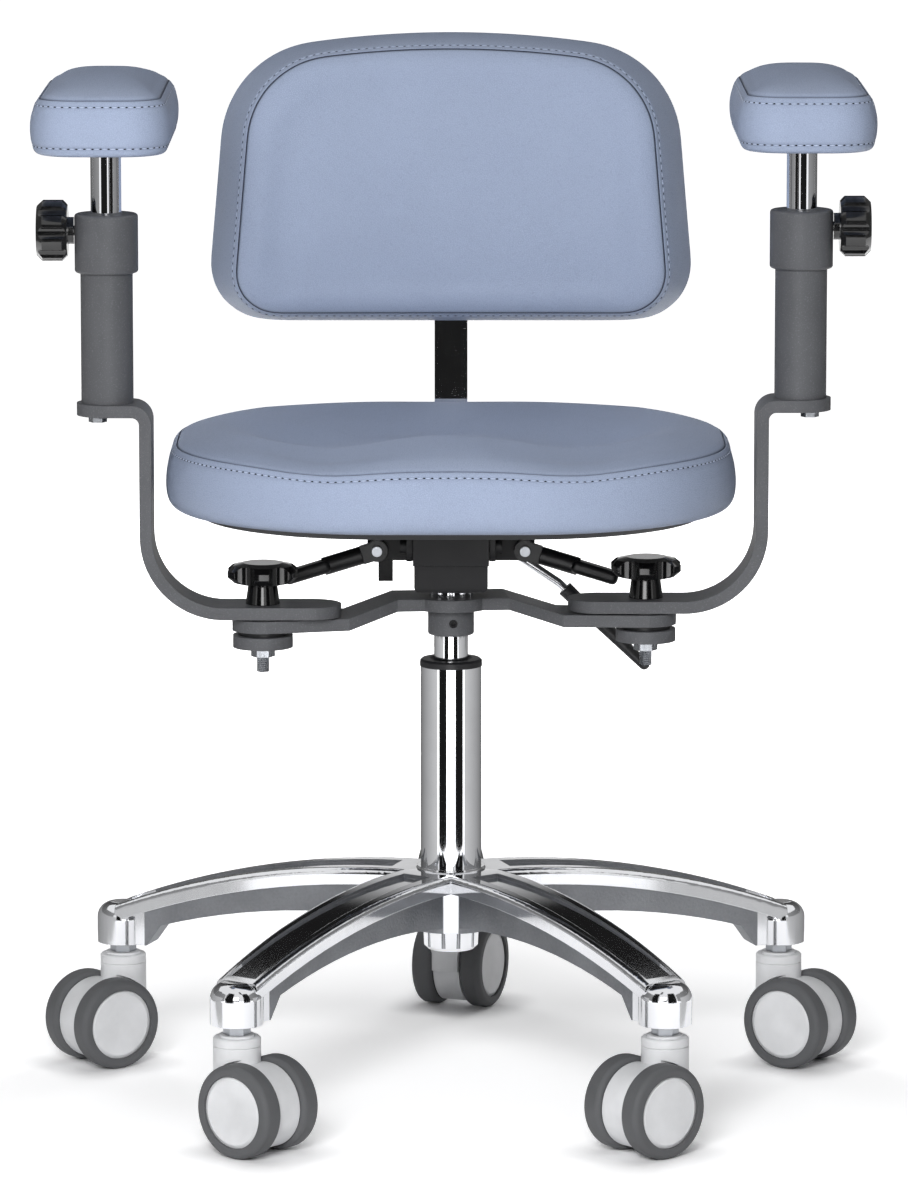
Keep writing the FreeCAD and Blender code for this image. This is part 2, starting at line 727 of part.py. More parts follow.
def make_caster(index):
    """A twin caster: its hooded body, its wheel pair on one axle and the two tyres."""
    name = "caster_" + CASTER_NAMES[index]
    x, y, heading = caster_place(index)
    body = new_body(name + "_body")
    barrel_edge = "Sizes.caster_barrel_diameter / 2"
    lip_edge = f"{barrel_edge} - Sizes.caster_lip_inset"
    lip_foot = "Places.barrel_top - Sizes.caster_lip_height"
    groove = "Places.barrel_top - Sizes.caster_cap_groove"
    half_groove = "Sizes.caster_groove_width / 2"
    barrel = [("0", "Places.barrel_top - Sizes.caster_barrel_length"),
              (barrel_edge, "Places.barrel_top - Sizes.caster_barrel_length"),
              (barrel_edge, f"{groove} - {half_groove}"),
              (f"{barrel_edge} - Sizes.caster_groove_depth", groove),
              (barrel_edge, f"{groove} + {half_groove}"),
              (barrel_edge, f"{lip_foot} - Sizes.caster_edge_chamfer"),
              (f"{barrel_edge} - Sizes.caster_edge_chamfer", lip_foot), (lip_edge, lip_foot),
              (lip_edge, "Places.barrel_top"), ("0", "Places.barrel_top")]
    revolve(body, new_sketch(body, "XZ_Plane", [barrel]))
    hood = new_sketch(body, "XZ_Plane", circles=[("Sizes.caster_trail", "Places.wheel_radius",
                                                  "Sizes.caster_hood_diameter / 2")])
    pad(body, hood, "Sizes.caster_body_width", symmetric=True)
    room = "Places.wheel_radius + Sizes.wheel_clearance"
    for side in (-1, 1):
        wheel_room = new_sketch(body, "XZ_Plane", level=f"{side} * Sizes.caster_body_width / 2",
                                circles=[("Sizes.caster_trail", "Places.wheel_radius", room)])
        pocket(body, wheel_room, "Sizes.wheel_spacing", backwards=side > 0)
    socket = new_sketch(body, "XY_Plane", level="Places.barrel_top",
                        circles=[("0", "0", "Sizes.stem_diameter / 2 + Sizes.running_clearance")])
    pocket(body, socket, "Sizes.stem_socket_depth + Sizes.swing_clearance")
    bore = "Sizes.caster_axle_diameter / 2 + Sizes.running_clearance"
    pocket(body, new_sketch(body, "XZ_Plane", circles=[("Sizes.caster_trail", "Places.wheel_radius", bore)]))
    place(body, x, y, turn=str(heading))

    x, y, heading = caster_place(index, "Sizes.caster_trail")
    rim = "Places.wheel_radius - Sizes.tyre_thickness"
    inner = "Sizes.wheel_spacing / 2 - Sizes.tyre_width / 2"
    outer = "Sizes.wheel_spacing / 2 + Sizes.tyre_width / 2"
    axle_edge = "Sizes.caster_axle_diameter / 2"
    face = f"{outer} - Sizes.wheel_face_inset"
    face_edge = f"{rim} - Sizes.wheel_face_chamfer"
    shoulder = f"{face} - Sizes.wheel_face_chamfer / 2"
    wheels = turned(name + "_wheels", [
        ("0", f"-({face})"), (face_edge, f"-({face})"), (rim, f"-({shoulder})"), (rim, f"-({inner})"),
        (axle_edge, f"-({inner})"), (axle_edge, inner), (rim, inner), (rim, shoulder),
        (face_edge, face), ("0", face)], "XY_Plane")
    place(wheels, x, y, "Places.wheel_radius", turn=str(heading))
    tyres = new_body(name + "_tyres")
    bulge = "Sizes.tyre_rounding"
    tread = "Places.wheel_radius"
    loops = []
    for side in (-1, 1):
        near, far = f"{side} * ({inner})", f"{side} * ({outer})"
        loops.append([(f"{rim} + Sizes.press_clearance", near), (f"{tread} - {bulge}", near, bulge, side),
                      (tread, f"{near} + {side} * {bulge}"),
                      (tread, f"{far} - {side} * {bulge}", bulge, side), (f"{tread} - {bulge}", far),
                      (f"{rim} + Sizes.press_clearance", far)])
    revolve(tyres, new_sketch(tyres, "XY_Plane", loops))
    place(tyres, x, y, "Places.wheel_radius", turn=str(heading))


# Column and gas lift

def make_column():
    rod_hole = "Sizes.lift_rod_diameter / 2 + Sizes.running_clearance"
    wall = "Sizes.column_wall"
    floor = "Places.column_bottom + Sizes.column_floor"
    turned("column_tube", [
        (rod_hole, "Places.column_bottom"),
        ("Places.column_foot_radius - Sizes.column_foot_chamfer", "Places.column_bottom"),
        ("Places.column_foot_radius", "Places.column_bottom + Sizes.column_foot_chamfer"),
        ("Places.column_radius", "Places.hub_top"), ("Places.column_radius", "Places.column_top"),
        (f"Places.column_radius - {wall}", "Places.column_top"),
        (f"Places.column_radius - {wall}", "Places.hub_top"),
        (f"Places.column_foot_radius - {wall}", floor), (rod_hole, floor)])
    guide = "Places.cylinder_radius + Sizes.running_clearance"
    flange = "Places.column_radius + Sizes.bush_flange_overhang"
    sleeve = f"Places.column_radius - {wall} - Sizes.press_clearance"
    flange_top = "Places.column_top + Sizes.bush_flange_height"
    turned("column_guide_bush", [
        (guide, "Places.column_top - Sizes.bush_length"), (sleeve, "Places.column_top - Sizes.bush_length"),
        (sleeve, "Places.column_top"), (flange, "Places.column_top"),
        (flange, f"{flange_top} - Sizes.bush_chamfer"), (f"{flange} - Sizes.bush_chamfer", flange_top),
        (f"{guide} + Sizes.bush_mouth_width", flange_top), (guide, f"{flange_top} - Sizes.bush_mouth_depth")])


def make_gas_lift():
    rod = "Sizes.lift_rod_diameter / 2"
    head = "Sizes.lift_rod_head / 2"
    head_bottom = "Places.column_bottom - Sizes.lift_rod_head_height"
    turned("piston_rod", [
        ("0", head_bottom), (head, head_bottom),
        (head, "Places.column_bottom - Sizes.swing_clearance"),
        (rod, "Places.column_bottom - Sizes.swing_clearance"),
        (rod, "Places.column_bottom + Sizes.lift_rod_length"),
        ("0", "Places.column_bottom + Sizes.lift_rod_length")])
    ring("lift_thrust_bearing", f"{rod} + Sizes.press_clearance", "Sizes.bearing_diameter / 2",
         "Places.bearing_bottom", "Places.bearing_top")
    outside = "Places.cylinder_radius"
    inside = "Places.cylinder_radius - Sizes.cylinder_wall"
    rod_way = f"{rod} + Sizes.running_clearance"
    button = "Sizes.valve_button_diameter / 2"
    button_top = "Places.cylinder_top + Sizes.valve_button_height"
    turned("gas_cylinder", [
        (rod_way, "Places.cylinder_bottom"), (outside, "Places.cylinder_bottom"),
        (outside, "Places.cylinder_top"), (button, "Places.cylinder_top"), (button, button_top),
        ("0", button_top), ("0", "Places.cylinder_top - Sizes.cylinder_plug"),
        (inside, "Places.cylinder_top - Sizes.cylinder_plug"),
        (inside, "Places.cylinder_bottom + Sizes.cylinder_plug"),
        (rod_way, "Places.cylinder_bottom + Sizes.cylinder_plug")])


# Armrest carrier

def make_carrier():
    plate = new_body("carrier_plate")
    half_boss = "Sizes.carrier_boss_diameter / 2"
    near = "Sizes.carrier_shoulder"
    far = "(Sizes.carrier_shoulder + Sizes.carrier_slope)"
    tip = "(Sizes.carrier_reach + Sizes.carrier_width / 2)"
    side_view = [
        (f"-{tip}", "Places.wing_bottom"), (f"-{far}", "Places.wing_bottom"),
        (f"-{near}", "Places.carrier_bottom"), (near, "Places.carrier_bottom"),
        (far, "Places.wing_bottom"), (tip, "Places.wing_bottom"),
        (tip, "Places.wing_top"), (far, "Places.wing_top"), (near, "Places.carrier_top"),
        (f"-{near}", "Places.carrier_top"), (f"-{far}", "Places.wing_top"), (f"-{tip}", "Places.wing_top")]
    pad(plate, new_sketch(plate, "XZ_Plane", [side_view]), "Sizes.carrier_reach * 2", symmetric=True)
    half = "Sizes.carrier_width / 2"
    reach = "Sizes.carrier_reach"
    front = "-Sizes.carrier_sweep"
    waist_x = f"{half_boss} * sin(Sizes.carrier_waist_angle)"
    waist_y = f"-{half_boss} * cos(Sizes.carrier_waist_angle)"
    right = [("0", f"-{half_boss}", half_boss, 1), (waist_x, waist_y), (near, waist_y),
             (far, f"{front} - Sizes.carrier_knee_front"), (reach, f"{front} - {half}", half, 1),
             (tip, front, half, 1), (reach, f"{front} + {half}"), (far, f"{front} + Sizes.carrier_knee_rear"),
             (near, half_boss), ("0", half_boss)]
    left = [mirrored(right, index) for index in range(len(right) - 2, 0, -1)]
    edge = f"{tip} + Sizes.cutting_overrun"
    wide = f"{reach} + Sizes.cutting_overrun"
    frame = [(f"-({edge})", f"-({wide})"), (edge, f"-({wide})"), (edge, wide), (f"-({edge})", wide)]
    right[-1] = right[-1][:2]
    pocket(plate, new_sketch(plate, "XY_Plane", [frame, right + left]))
    bores = [("0", "0", "Places.cylinder_radius + Sizes.press_clearance"),
             (f"-{reach}", front, "Sizes.stud_diameter / 2 + Sizes.press_clearance"),
             (reach, front, "Sizes.stud_diameter / 2 + Sizes.press_clearance")]
    pocket(plate, new_sketch(plate, "XY_Plane", circles=bores))
    turn = "Sizes.carrier_turn"
    place(plate, turn=turn)

    outside = "Sizes.collar_diameter / 2"
    bottom = "Places.carrier_bottom - Sizes.collar_height"
    screw_z = "Places.carrier_bottom - Sizes.collar_height / 2"
    sleeve = ring("carrier_collar", "Places.cylinder_radius + Sizes.press_clearance", outside,
                  bottom, "Places.carrier_bottom")
    screw_hole = new_sketch(sleeve, "XZ_Plane", circles=[
        ("0", screw_z, "Sizes.set_screw_diameter / 2 + Sizes.press_clearance")])
    pocket(sleeve, screw_hole, "Sizes.collar_diameter", backwards=True)
    fillet(sleeve, lambda edge: is_circle(edge, number(outside), number(bottom)), "Sizes.collar_rounding")
    place(sleeve, turn=turn)
    wall = f"{outside} - Places.cylinder_radius"
    screw_face = f"-{outside} + Sizes.set_screw_sink"
    screw = cylinder("Sizes.set_screw_diameter / 2", f"{wall} - 2 * Sizes.press_clearance - Sizes.set_screw_sink",
                     "0", screw_face, screw_z, "y")
    key_hole = prism("Sizes.set_screw_key_width", "Sizes.set_screw_key_depth", "0", screw_face, screw_z)
    key_hole.Placement = Placement(key_hole.Placement.Base, Rotation(Vector(1, 0, 0), -90))
    keep(place(cut(screw, key_hole), turn=turn), "collar_set_screw")

    nut = ring("ring_nut", "Places.cylinder_radius + Sizes.press_clearance", "Sizes.ring_nut_diameter / 2",
               "Places.carrier_top", "Places.pan_bottom")
    slot = new_sketch(nut, "XY_Plane", level="Places.pan_bottom",
                      circles=[("Sizes.ring_nut_diameter / 2", "0", "Sizes.ring_nut_slot / 2")])
    polar(nut, RING_NUT_SLOTS, [pocket(nut, slot, "Sizes.ring_nut_height")])


def mirrored(loop, index):
    """The mirror image across x = 0 of the stretch that ends at one corner of a loop."""
    x, y = loop[index][:2]
    return (f"-({x})", y) + tuple(loop[index - 1][2:])


def make_swing_hardware():
    """Studs, nuts, discs and washers under and between the carrier's ends and the armrest bars."""
    studs, discs, washers = [], [], []
    bore = "Sizes.stud_diameter / 2 + Sizes.press_clearance"
    for name in SIDES:
        spot = (f"Places.pivot_{name}_x", f"Places.pivot_{name}_y")
        stud = cylinder("Sizes.stud_diameter / 2", "Sizes.stud_length - Sizes.knob_head_height / 2",
                        *spot, "Places.stud_bottom")
        nut = prism("Sizes.nut_width", "Sizes.nut_height", *spot, "Places.disc_bottom - Sizes.nut_height")
        studs.append(fuse(stud, nut))
        for thickness, diameter, level, things in (
                ("Sizes.disc_thickness", "Sizes.disc_diameter", "Places.disc_bottom", discs),
                ("Sizes.lower_washer_thickness", "Sizes.lower_washer_diameter", "Places.disc_top", washers),
                ("Sizes.upper_washer_thickness", "Sizes.upper_washer_diameter", "Places.wing_top", washers)):
            blank = cylinder(f"{diameter} / 2", thickness, *spot, level)
            things.append(cut(blank, cylinder(bore, thickness, *spot, level)))
    keep(group(*studs), "swing_studs")
    keep(group(*discs), "swing_discs")
    keep(group(*washers), "swing_washers")


# Armrests

def make_arm_bar(name, side):
    """The flat bar that runs out from the swing joint, up past the seat and out under the post."""
    bar = new_body(name + "_arm_bar")
    out = "Sizes.bar_outer_reach"
    thick = "Sizes.bar_thickness"
    bend = "Sizes.bar_bend_radius"
    small = "Sizes.bar_top_bend_radius"
    rise = "Sizes.bar_rise"
    end = "Sizes.post_reach + Sizes.bar_width / 2"
    back = "-Sizes.bar_inner_reach"
    profile = [(back, "0"), (f"{out} - {bend}", "0", bend, 1), (out, bend),
               (out, f"{rise} - {small}", small, -1), (f"{out} + {small}", rise), (end, rise),
               (end, f"{rise} + {thick}"), (f"{out} + {small}", f"{rise} + {thick}", f"{small} + {thick}", 1),
               (f"{out} - {thick}", f"{rise} - {small}"), (f"{out} - {thick}", bend, f"{bend} - {thick}", -1),
               (f"{out} - {bend}", thick), (back, thick)]
    pad(bar, new_sketch(bar, "XZ_Plane", [sided(profile, side)]), "Sizes.bar_width", symmetric=True)
    half = "Sizes.bar_width / 2"
    blunt = [(f"{back} + {half}", f"-{half}"), (f"{end} - {half}", f"-{half}", half, 1), (end, "0", half, 1),
             (f"{end} - {half}", half), (f"{back} + {half}", half, half, 1), (back, "0", half, 1)]
    near, far = f"{back} - Sizes.cutting_overrun", f"{end} + Sizes.cutting_overrun"
    frame = [(near, "-Sizes.bar_width"), (far, "-Sizes.bar_width"),
             (far, "Sizes.bar_width"), (near, "Sizes.bar_width")]
    pocket(bar, new_sketch(bar, "XY_Plane", [sided(frame, side), sided(blunt, side)]))
    holes = [("0", "0", "Sizes.stud_diameter / 2 + Sizes.running_clearance"),
             (f"{side} * (Sizes.post_reach + Sizes.post_screw_offset)", "0",
              "Sizes.post_screw_diameter / 2 + Sizes.press_clearance")]
    pocket(bar, new_sketch(bar, "XY_Plane", circles=holes))
    place(bar, f"Places.pivot_{name}_x", f"Places.pivot_{name}_y", "Places.bar_bottom")


def sided(loop, side):
    """A loop as drawn for the right side, or its mirror image for the left side."""
    if side > 0:
        return loop
    return [(f"-({corner[0]})", corner[1]) + turned_back(corner) for corner in loop]


def turned_back(corner):
    return (corner[2], -corner[3]) if len(corner) == 4 else ()


def make_post(name, side):
    """Tube, clamp, screw and chromed rod of one armrest."""
    x, y = f"Places.post_{name}_x", f"Places.pivot_{name}_y"
    outside = "Sizes.post_tube_diameter / 2"
    inside = "Sizes.post_tube_diameter / 2 - Sizes.post_tube_wall"
    plug_top = "Places.post_bottom + Sizes.post_plug_height"
    tube = turned(name + "_post_tube", [
        ("0", "Places.post_bottom"), (outside, "Places.post_bottom"), (outside, "Places.tube_top"),
        (inside, "Places.tube_top"), (inside, plug_top), ("0", plug_top)])
    tapping = new_sketch(tube, "XY_Plane", level="Places.post_bottom", circles=[
        (f"{side} * Sizes.post_screw_offset", "0", "Sizes.post_screw_diameter / 2 + Sizes.press_clearance")])
    pocket(tube, tapping, "Sizes.post_plug_height", backwards=True)
    place(tube, x, y)

    edge = "Sizes.clamp_diameter / 2"
    bore = "Sizes.rod_diameter / 2 + Sizes.running_clearance"
    clamp = turned(name + "_post_clamp", [
        (f"{outside} + Sizes.press_clearance", "Places.clamp_bottom"), (edge, "Places.clamp_bottom"),
        (edge, "Places.clamp_top"), (bore, "Places.clamp_top"), (bore, "Places.tube_top"),
        (f"{outside} + Sizes.press_clearance", "Places.tube_top")])
    screw_way = new_sketch(clamp, "YZ_Plane", circles=[
        ("0", "Places.clamp_middle", "Sizes.hand_wheel_screw_diameter / 2 + Sizes.running_clearance")])
    pocket(clamp, screw_way, "Sizes.clamp_diameter", backwards=side > 0)
    fillet(clamp, lambda edge_of: any(
        is_circle(edge_of, number(edge), number(level))
        for level in ("Places.clamp_bottom", "Places.clamp_top")), "Sizes.clamp_rounding")
    place(clamp, x, y)

    screw_x = f"{x} + {side} * Sizes.post_screw_offset"
    under_plate = "Places.post_bottom - Sizes.bar_thickness"
    shank = cylinder("Sizes.post_screw_diameter / 2",
                     "Sizes.bar_thickness + Sizes.post_plug_height - Sizes.post_screw_end_gap",
                     screw_x, y, under_plate)
    head = prism("Sizes.post_screw_head_width", "Sizes.post_screw_head_height", screw_x, y,
                 f"{under_plate} - Sizes.post_screw_head_height")
    keep(fuse(shank, head), name + "_post_screw")

    rod_edge = "Sizes.rod_diameter / 2"
    rod_bottom = "Places.rod_top - Sizes.rod_length"
    chamfer = "Sizes.rod_chamfer"
    rod = turned(name + "_arm_rod", [
        ("0", rod_bottom), (f"{rod_edge} - {chamfer}", rod_bottom), (rod_edge, f"{rod_bottom} + {chamfer}"),
        (rod_edge, f"Places.rod_top - {chamfer}"), (f"{rod_edge} - {chamfer}", "Places.rod_top"),
        ("0", "Places.rod_top")])
    place(rod, x, y)


def make_hand_wheel(name, side):
    """The fluted hand wheel whose screw clamps the rod, drawn along +Z and laid along X."""
    body = new_body(name + "_hand_wheel")
    neck = "Sizes.hand_wheel_neck_diameter / 2"
    edge = "Sizes.hand_wheel_diameter / 2"
    screw = "Sizes.hand_wheel_screw_diameter / 2"
    start = "Sizes.clamp_diameter / 2 + Sizes.swing_clearance"
    head = f"{start} + Sizes.hand_wheel_neck_length"
    end = f"{head} + Sizes.hand_wheel_thickness"
    tip = "Sizes.rod_diameter / 2 + Sizes.swing_clearance"
    rear = "Sizes.hand_wheel_rear_chamfer"
    front = "Sizes.hand_wheel_front_chamfer"
    dish = "Sizes.hand_wheel_dish"
    rim = f"{edge} - {front} - Sizes.hand_wheel_rim"
    revolve(body, new_sketch(body, "XZ_Plane", [[
        ("0", tip), (screw, tip), (screw, start), (neck, start), (neck, head), (f"{edge} - {rear}", head),
        (edge, f"{head} + {rear}"), (edge, f"{end} - {front}"), (f"{edge} - {front}", end), (rim, end),
        (f"{rim} - {dish} / 2", f"{end} - {dish}"), ("0", f"{end} - {dish}")]]))
    flute_x = f"{edge} + Sizes.hand_wheel_flute_radius - Sizes.hand_wheel_flute_depth"
    flute = new_sketch(body, "XY_Plane", level=end, circles=[(flute_x, "0", "Sizes.hand_wheel_flute_radius")])
    polar(body, HAND_WHEEL_FLUTES, [pocket(body, flute, "Sizes.hand_wheel_thickness")])
    place(body, f"Places.post_{name}_x", f"Places.pivot_{name}_y", "Places.clamp_middle",
          turn=f"{side} * 90", axis=Vector(0, 1, 0))


def make_swing_knob(name):
    """The scalloped knob that tightens one swing joint."""
    body = new_body(name + "_swing_knob")
    neck = "Sizes.knob_neck_diameter / 2"
    edge = "Sizes.knob_diameter / 2"
    head = "Sizes.knob_neck_height"
    top = "Sizes.knob_neck_height + Sizes.knob_head_height"
    thread = "Sizes.stud_diameter / 2 + Sizes.running_clearance"
    depth = "Sizes.knob_neck_height - Sizes.knob_head_height / 2 + Sizes.swing_clearance"
    lift = "Sizes.swing_clearance"
    revolve(body, new_sketch(body, "XZ_Plane", [[
        (thread, lift), (neck, lift),
        (f"{neck} - Sizes.knob_neck_taper", f"{head} - Sizes.knob_underside_drop"),
        (f"{edge} - Sizes.knob_underside_inset", head), (edge, f"{head} + Sizes.knob_lower_shoulder"),
        (edge, f"{top} - Sizes.knob_upper_shoulder"),
        (f"{edge} - Sizes.knob_dome_edge", f"{top} - Sizes.knob_dome_drop"),
        (f"{edge} - Sizes.knob_dome_inset", top), ("0", top), ("0", depth), (thread, depth)]]))
    scallop_x = f"{edge} + Sizes.knob_scallop_radius - Sizes.knob_scallop_depth"
    scallop = new_sketch(body, "XY_Plane", level=top, circles=[(scallop_x, "0", "Sizes.knob_scallop_radius")])
    polar(body, KNOB_LOBES, [pocket(body, scallop, "Sizes.knob_head_height + Sizes.knob_underside_drop")])
    place(body, f"Places.pivot_{name}_x", f"Places.pivot_{name}_y", "Places.bar_top")


# Upholstery

def oblong(half_u, half_v, near_radius, far_radius):
    """The corners of a rectangle as (u, v, radius): near_radius at low v, far_radius at high v."""
    return [(half_u, -half_v, near_radius), (half_u, half_v, far_radius),
            (-half_u, half_v, far_radius), (-half_u, -half_v, near_radius)]


def inset_corners(corners, inset_u, inset_v):
    """The corners after each side moved inwards, by inset_u where it is upright and inset_v where level."""
    sides = []
    for (u0, v0, _), (u1, v1, _) in zip(corners, corners[1:] + corners[:1]):
        length = math.hypot(u1 - u0, v1 - v0)
        normal = ((v1 - v0) / length, (u0 - u1) / length)
        inset = inset_u * abs(normal[0]) + inset_v * abs(normal[1])
        sides.append((normal, normal[0] * u0 + normal[1] * v0 - inset))
    moved = []
    for index, (_, _, radius) in enumerate(corners):
        (a, first), (b, second) = sides[index - 1], sides[index]
        cross = a[0] * b[1] - a[1] * b[0]
        moved.append(((first * b[1] - second * a[1]) / cross, (second * a[0] - first * b[0]) / cross,
                      max(radius - max(inset_u, inset_v), LEAST_RADIUS)))
    return moved


def rounded_wire(corners, to_point):
    """A closed wire of lines and tangent arcs round the corners."""
    points = [Vector(u, v, 0) for u, v, _ in corners]
    lengths = [(points[index] - points[index - 1]).Length for index in range(len(points))]
    angles = []
    reaches = []
    for index, here in enumerate(points):
        after = points[(index + 1) % len(points)]
        angles.append((points[index - 1] - here).getAngle(after - here) / 2)
        reaches.append(corners[index][2] / math.tan(angles[index]))
    spans = []
    for index, here in enumerate(points):
        following = (index + 1) % len(points)
        before = (points[index - 1] - here).normalize()
        after = (points[following] - here).normalize()
        crowding = max(1, (reaches[index - 1] + reaches[index] + LEAST_RADIUS) / lengths[index],
                       (reaches[index] + reaches[following] + LEAST_RADIUS) / lengths[following])
        reach = reaches[index] / crowding
        radius = reach * math.tan(angles[index])
        crest = here + (before + after).normalize() * (radius / math.sin(angles[index]) - radius)
        ends = (here + before * reach, crest, here + after * reach)
        spans.append([to_point(point.x, point.y) for point in ends])
    edges = []
    for index, (start, crest, end) in enumerate(spans):
        edges.append(Part.Arc(start, crest, end).toShape())
        edges.append(Part.LineSegment(end, spans[(index + 1) % len(spans)][0]).toShape())
    return Part.Wire(edges)


def cushion_shape(corners, layers, axis, straight=False):
    """A loft through rounded outlines, one for each (level, inset_u, inset_v) layer along an axis."""
    wires = []
    for level, inset_u, inset_v in layers:
        def to_point(u, v, at=level):
            return Vector(u, v, at) if axis == "z" else Vector(u, at, v)
        wires.append(rounded_wire(inset_corners(corners, inset_u, inset_v), to_point))
    return Part.makeLoft(wires, True, straight)


def raised(layers, side, crown):
    """Layers of (level, inset_u, inset_v) from shares of a side's and a crown's height."""
    return [(side * up + crown * over, inset, inset) for up, over, inset in layers]


def add_shape(label, shape, placement=Placement()):
    thing = doc.addObject("Part::Feature", label)
    thing.Shape = shape
    thing.Placement = placement
    return keep(thing, label)


def make_pad(name):
    """One armrest pad: drawn-in sides, a crowned top and a socket for its rod."""
    side, crown = number("Sizes.pad_side_height"), number("Sizes.pad_crown")
    corner = number("Sizes.pad_corner_radius")
    corners = oblong(number("Sizes.pad_width / 2"), number("Sizes.pad_length / 2"), corner, corner)
    cushion = cushion_shape(corners, raised(PAD_LAYERS, side, crown), "z")
    socket = Part.makeCylinder(number("Sizes.rod_diameter / 2 + Sizes.running_clearance"),
                               number("Sizes.rod_seat + Sizes.swing_clearance"))
    spot = Vector(number(f"Places.post_{name}_x"), number(f"Places.pivot_{name}_y"),
                  number("Places.pad_bottom"))
    add_shape(name + "_arm_pad", cushion.cut(socket), Placement(spot, Rotation()))


def make_seat():
    """Seat cushion, its under-shell and the pressed frame that hangs on the tilt axle."""
    side, crown = number("Sizes.seat_side_height"), number("Sizes.seat_crown")
    corners = oblong(number("Sizes.seat_width / 2"), number("Sizes.seat_depth / 2"),
                     number("Sizes.seat_front_corner_radius"), number("Sizes.seat_rear_corner_radius"))
    cushion = cushion_shape(corners, raised(SEAT_LAYERS, side, crown), "z")
    top = side + crown
    thigh = number("Sizes.seat_thigh_radius")
    hollow = number("Sizes.seat_hollow_radius")
    dishes = [(way * number("Sizes.seat_thigh_spread"), -number("Sizes.seat_thigh_ahead"),
               thigh, number("Sizes.seat_thigh_depth")) for way in (-1, 1)]
    dishes.append((0, number("Sizes.seat_hollow_behind"), hollow, number("Sizes.seat_hollow_depth")))
    for x, y, radius, depth in dishes:
        cushion = cushion.cut(Part.makeSphere(radius, Vector(x, y, top + radius - depth)))
    level = Vector(0, 0, number("Places.cushion_bottom"))
    add_shape("seat_cushion", cushion, Placement(level, Rotation()))

    inset, thick = number("Sizes.seat_shell_inset"), number("Sizes.seat_shell_thickness")
    shell = cushion_shape(corners, [(0, inset + thick, inset + thick), (thick, inset, inset)], "z")
    level = Vector(0, 0, number("Places.seat_shell_bottom"))
    add_shape("seat_shell", shell, Placement(level, Rotation()))

    ear_inside = "Sizes.mechanism_width / 2 + Sizes.swing_clearance"
    axle = ("-Sizes.seat_axle_ahead", "Places.seat_axle_z")
    sheet = box("Sizes.seat_frame_width", "Sizes.seat_frame_length", "Sizes.seat_frame_thickness",
                z="Places.frame_bottom")
    ears = []
    for way in (-1, 1):
        middle = f"{way} * ({ear_inside} + Sizes.seat_ear_thickness / 2)"
        ears.append(box("Sizes.seat_ear_thickness", "Sizes.seat_ear_width",
                        "Places.frame_bottom - Places.seat_axle_z", middle, *axle))
        ears.append(cylinder("Sizes.seat_ear_width / 2", "Sizes.seat_ear_thickness",
                             f"{middle} - Sizes.seat_ear_thickness / 2", *axle, "x"))
    eye = cylinder("Sizes.axle_diameter / 2 + Sizes.running_clearance", "Sizes.seat_frame_width",
                   "-Sizes.seat_frame_width / 2", *axle, "x")
    keep(cut(fuse(sheet, *ears), eye), "seat_frame")


def back_placement():
    """The back's own frame: its rear plane at its centre, leaning back by the recline."""
    spot = Vector(0, number("Sizes.back_plane_behind"), number("Sizes.back_centre_height"))
    return Placement(spot, Rotation(Vector(1, 0, 0), -number("Sizes.back_recline")))


def make_back():
    """Back cushion with a hollowed front, and the shell behind it."""
    half_height = number("Sizes.back_height / 2")
    foot, shoulder = number("Sizes.back_width / 2"), number("Sizes.back_shoulder_width / 2")
    ridge = half_height + number("Sizes.back_ridge")
    shoulder_height = half_height - number("Sizes.back_shoulder_drop")
    low, high = number("Sizes.back_bottom_corner_radius"), number("Sizes.back_top_corner_radius")
    corners = [(foot, -half_height, low), (shoulder, shoulder_height, high),
               (0, ridge, number("Sizes.back_top_arch_radius")), (-shoulder, shoulder_height, high),
               (-foot, -half_height, low)]
    thick, seam = number("Sizes.back_thickness"), number("Sizes.back_seam_inset")
    bow = number("Sizes.back_curve_radius")
    sagitta = bow - math.sqrt(bow ** 2 - foot ** 2)
    layers = [(-thick * depth - sagitta * bowed, seam * side + side_round, seam * end + end_round)
              for depth, bowed, side, side_round, end, end_round in BACK_LAYERS]
    cushion = cushion_shape(corners, layers, "y")
    scoop = Part.makeCylinder(bow, 4 * half_height, Vector(0, -thick - bow, -2 * half_height))
    add_shape("back_cushion", cushion.cut(scoop), back_placement())
    inset, shell = number("Sizes.back_shell_inset"), number("Sizes.back_shell_thickness")
    bevel = number("Sizes.back_shell_bevel")
    layers = [(shell * share, inset + bevel * part, inset + bevel * part) for share, part in SHELL_LAYERS]
    add_shape("back_shell", cushion_shape(corners, layers, "y", straight=True), back_placement())


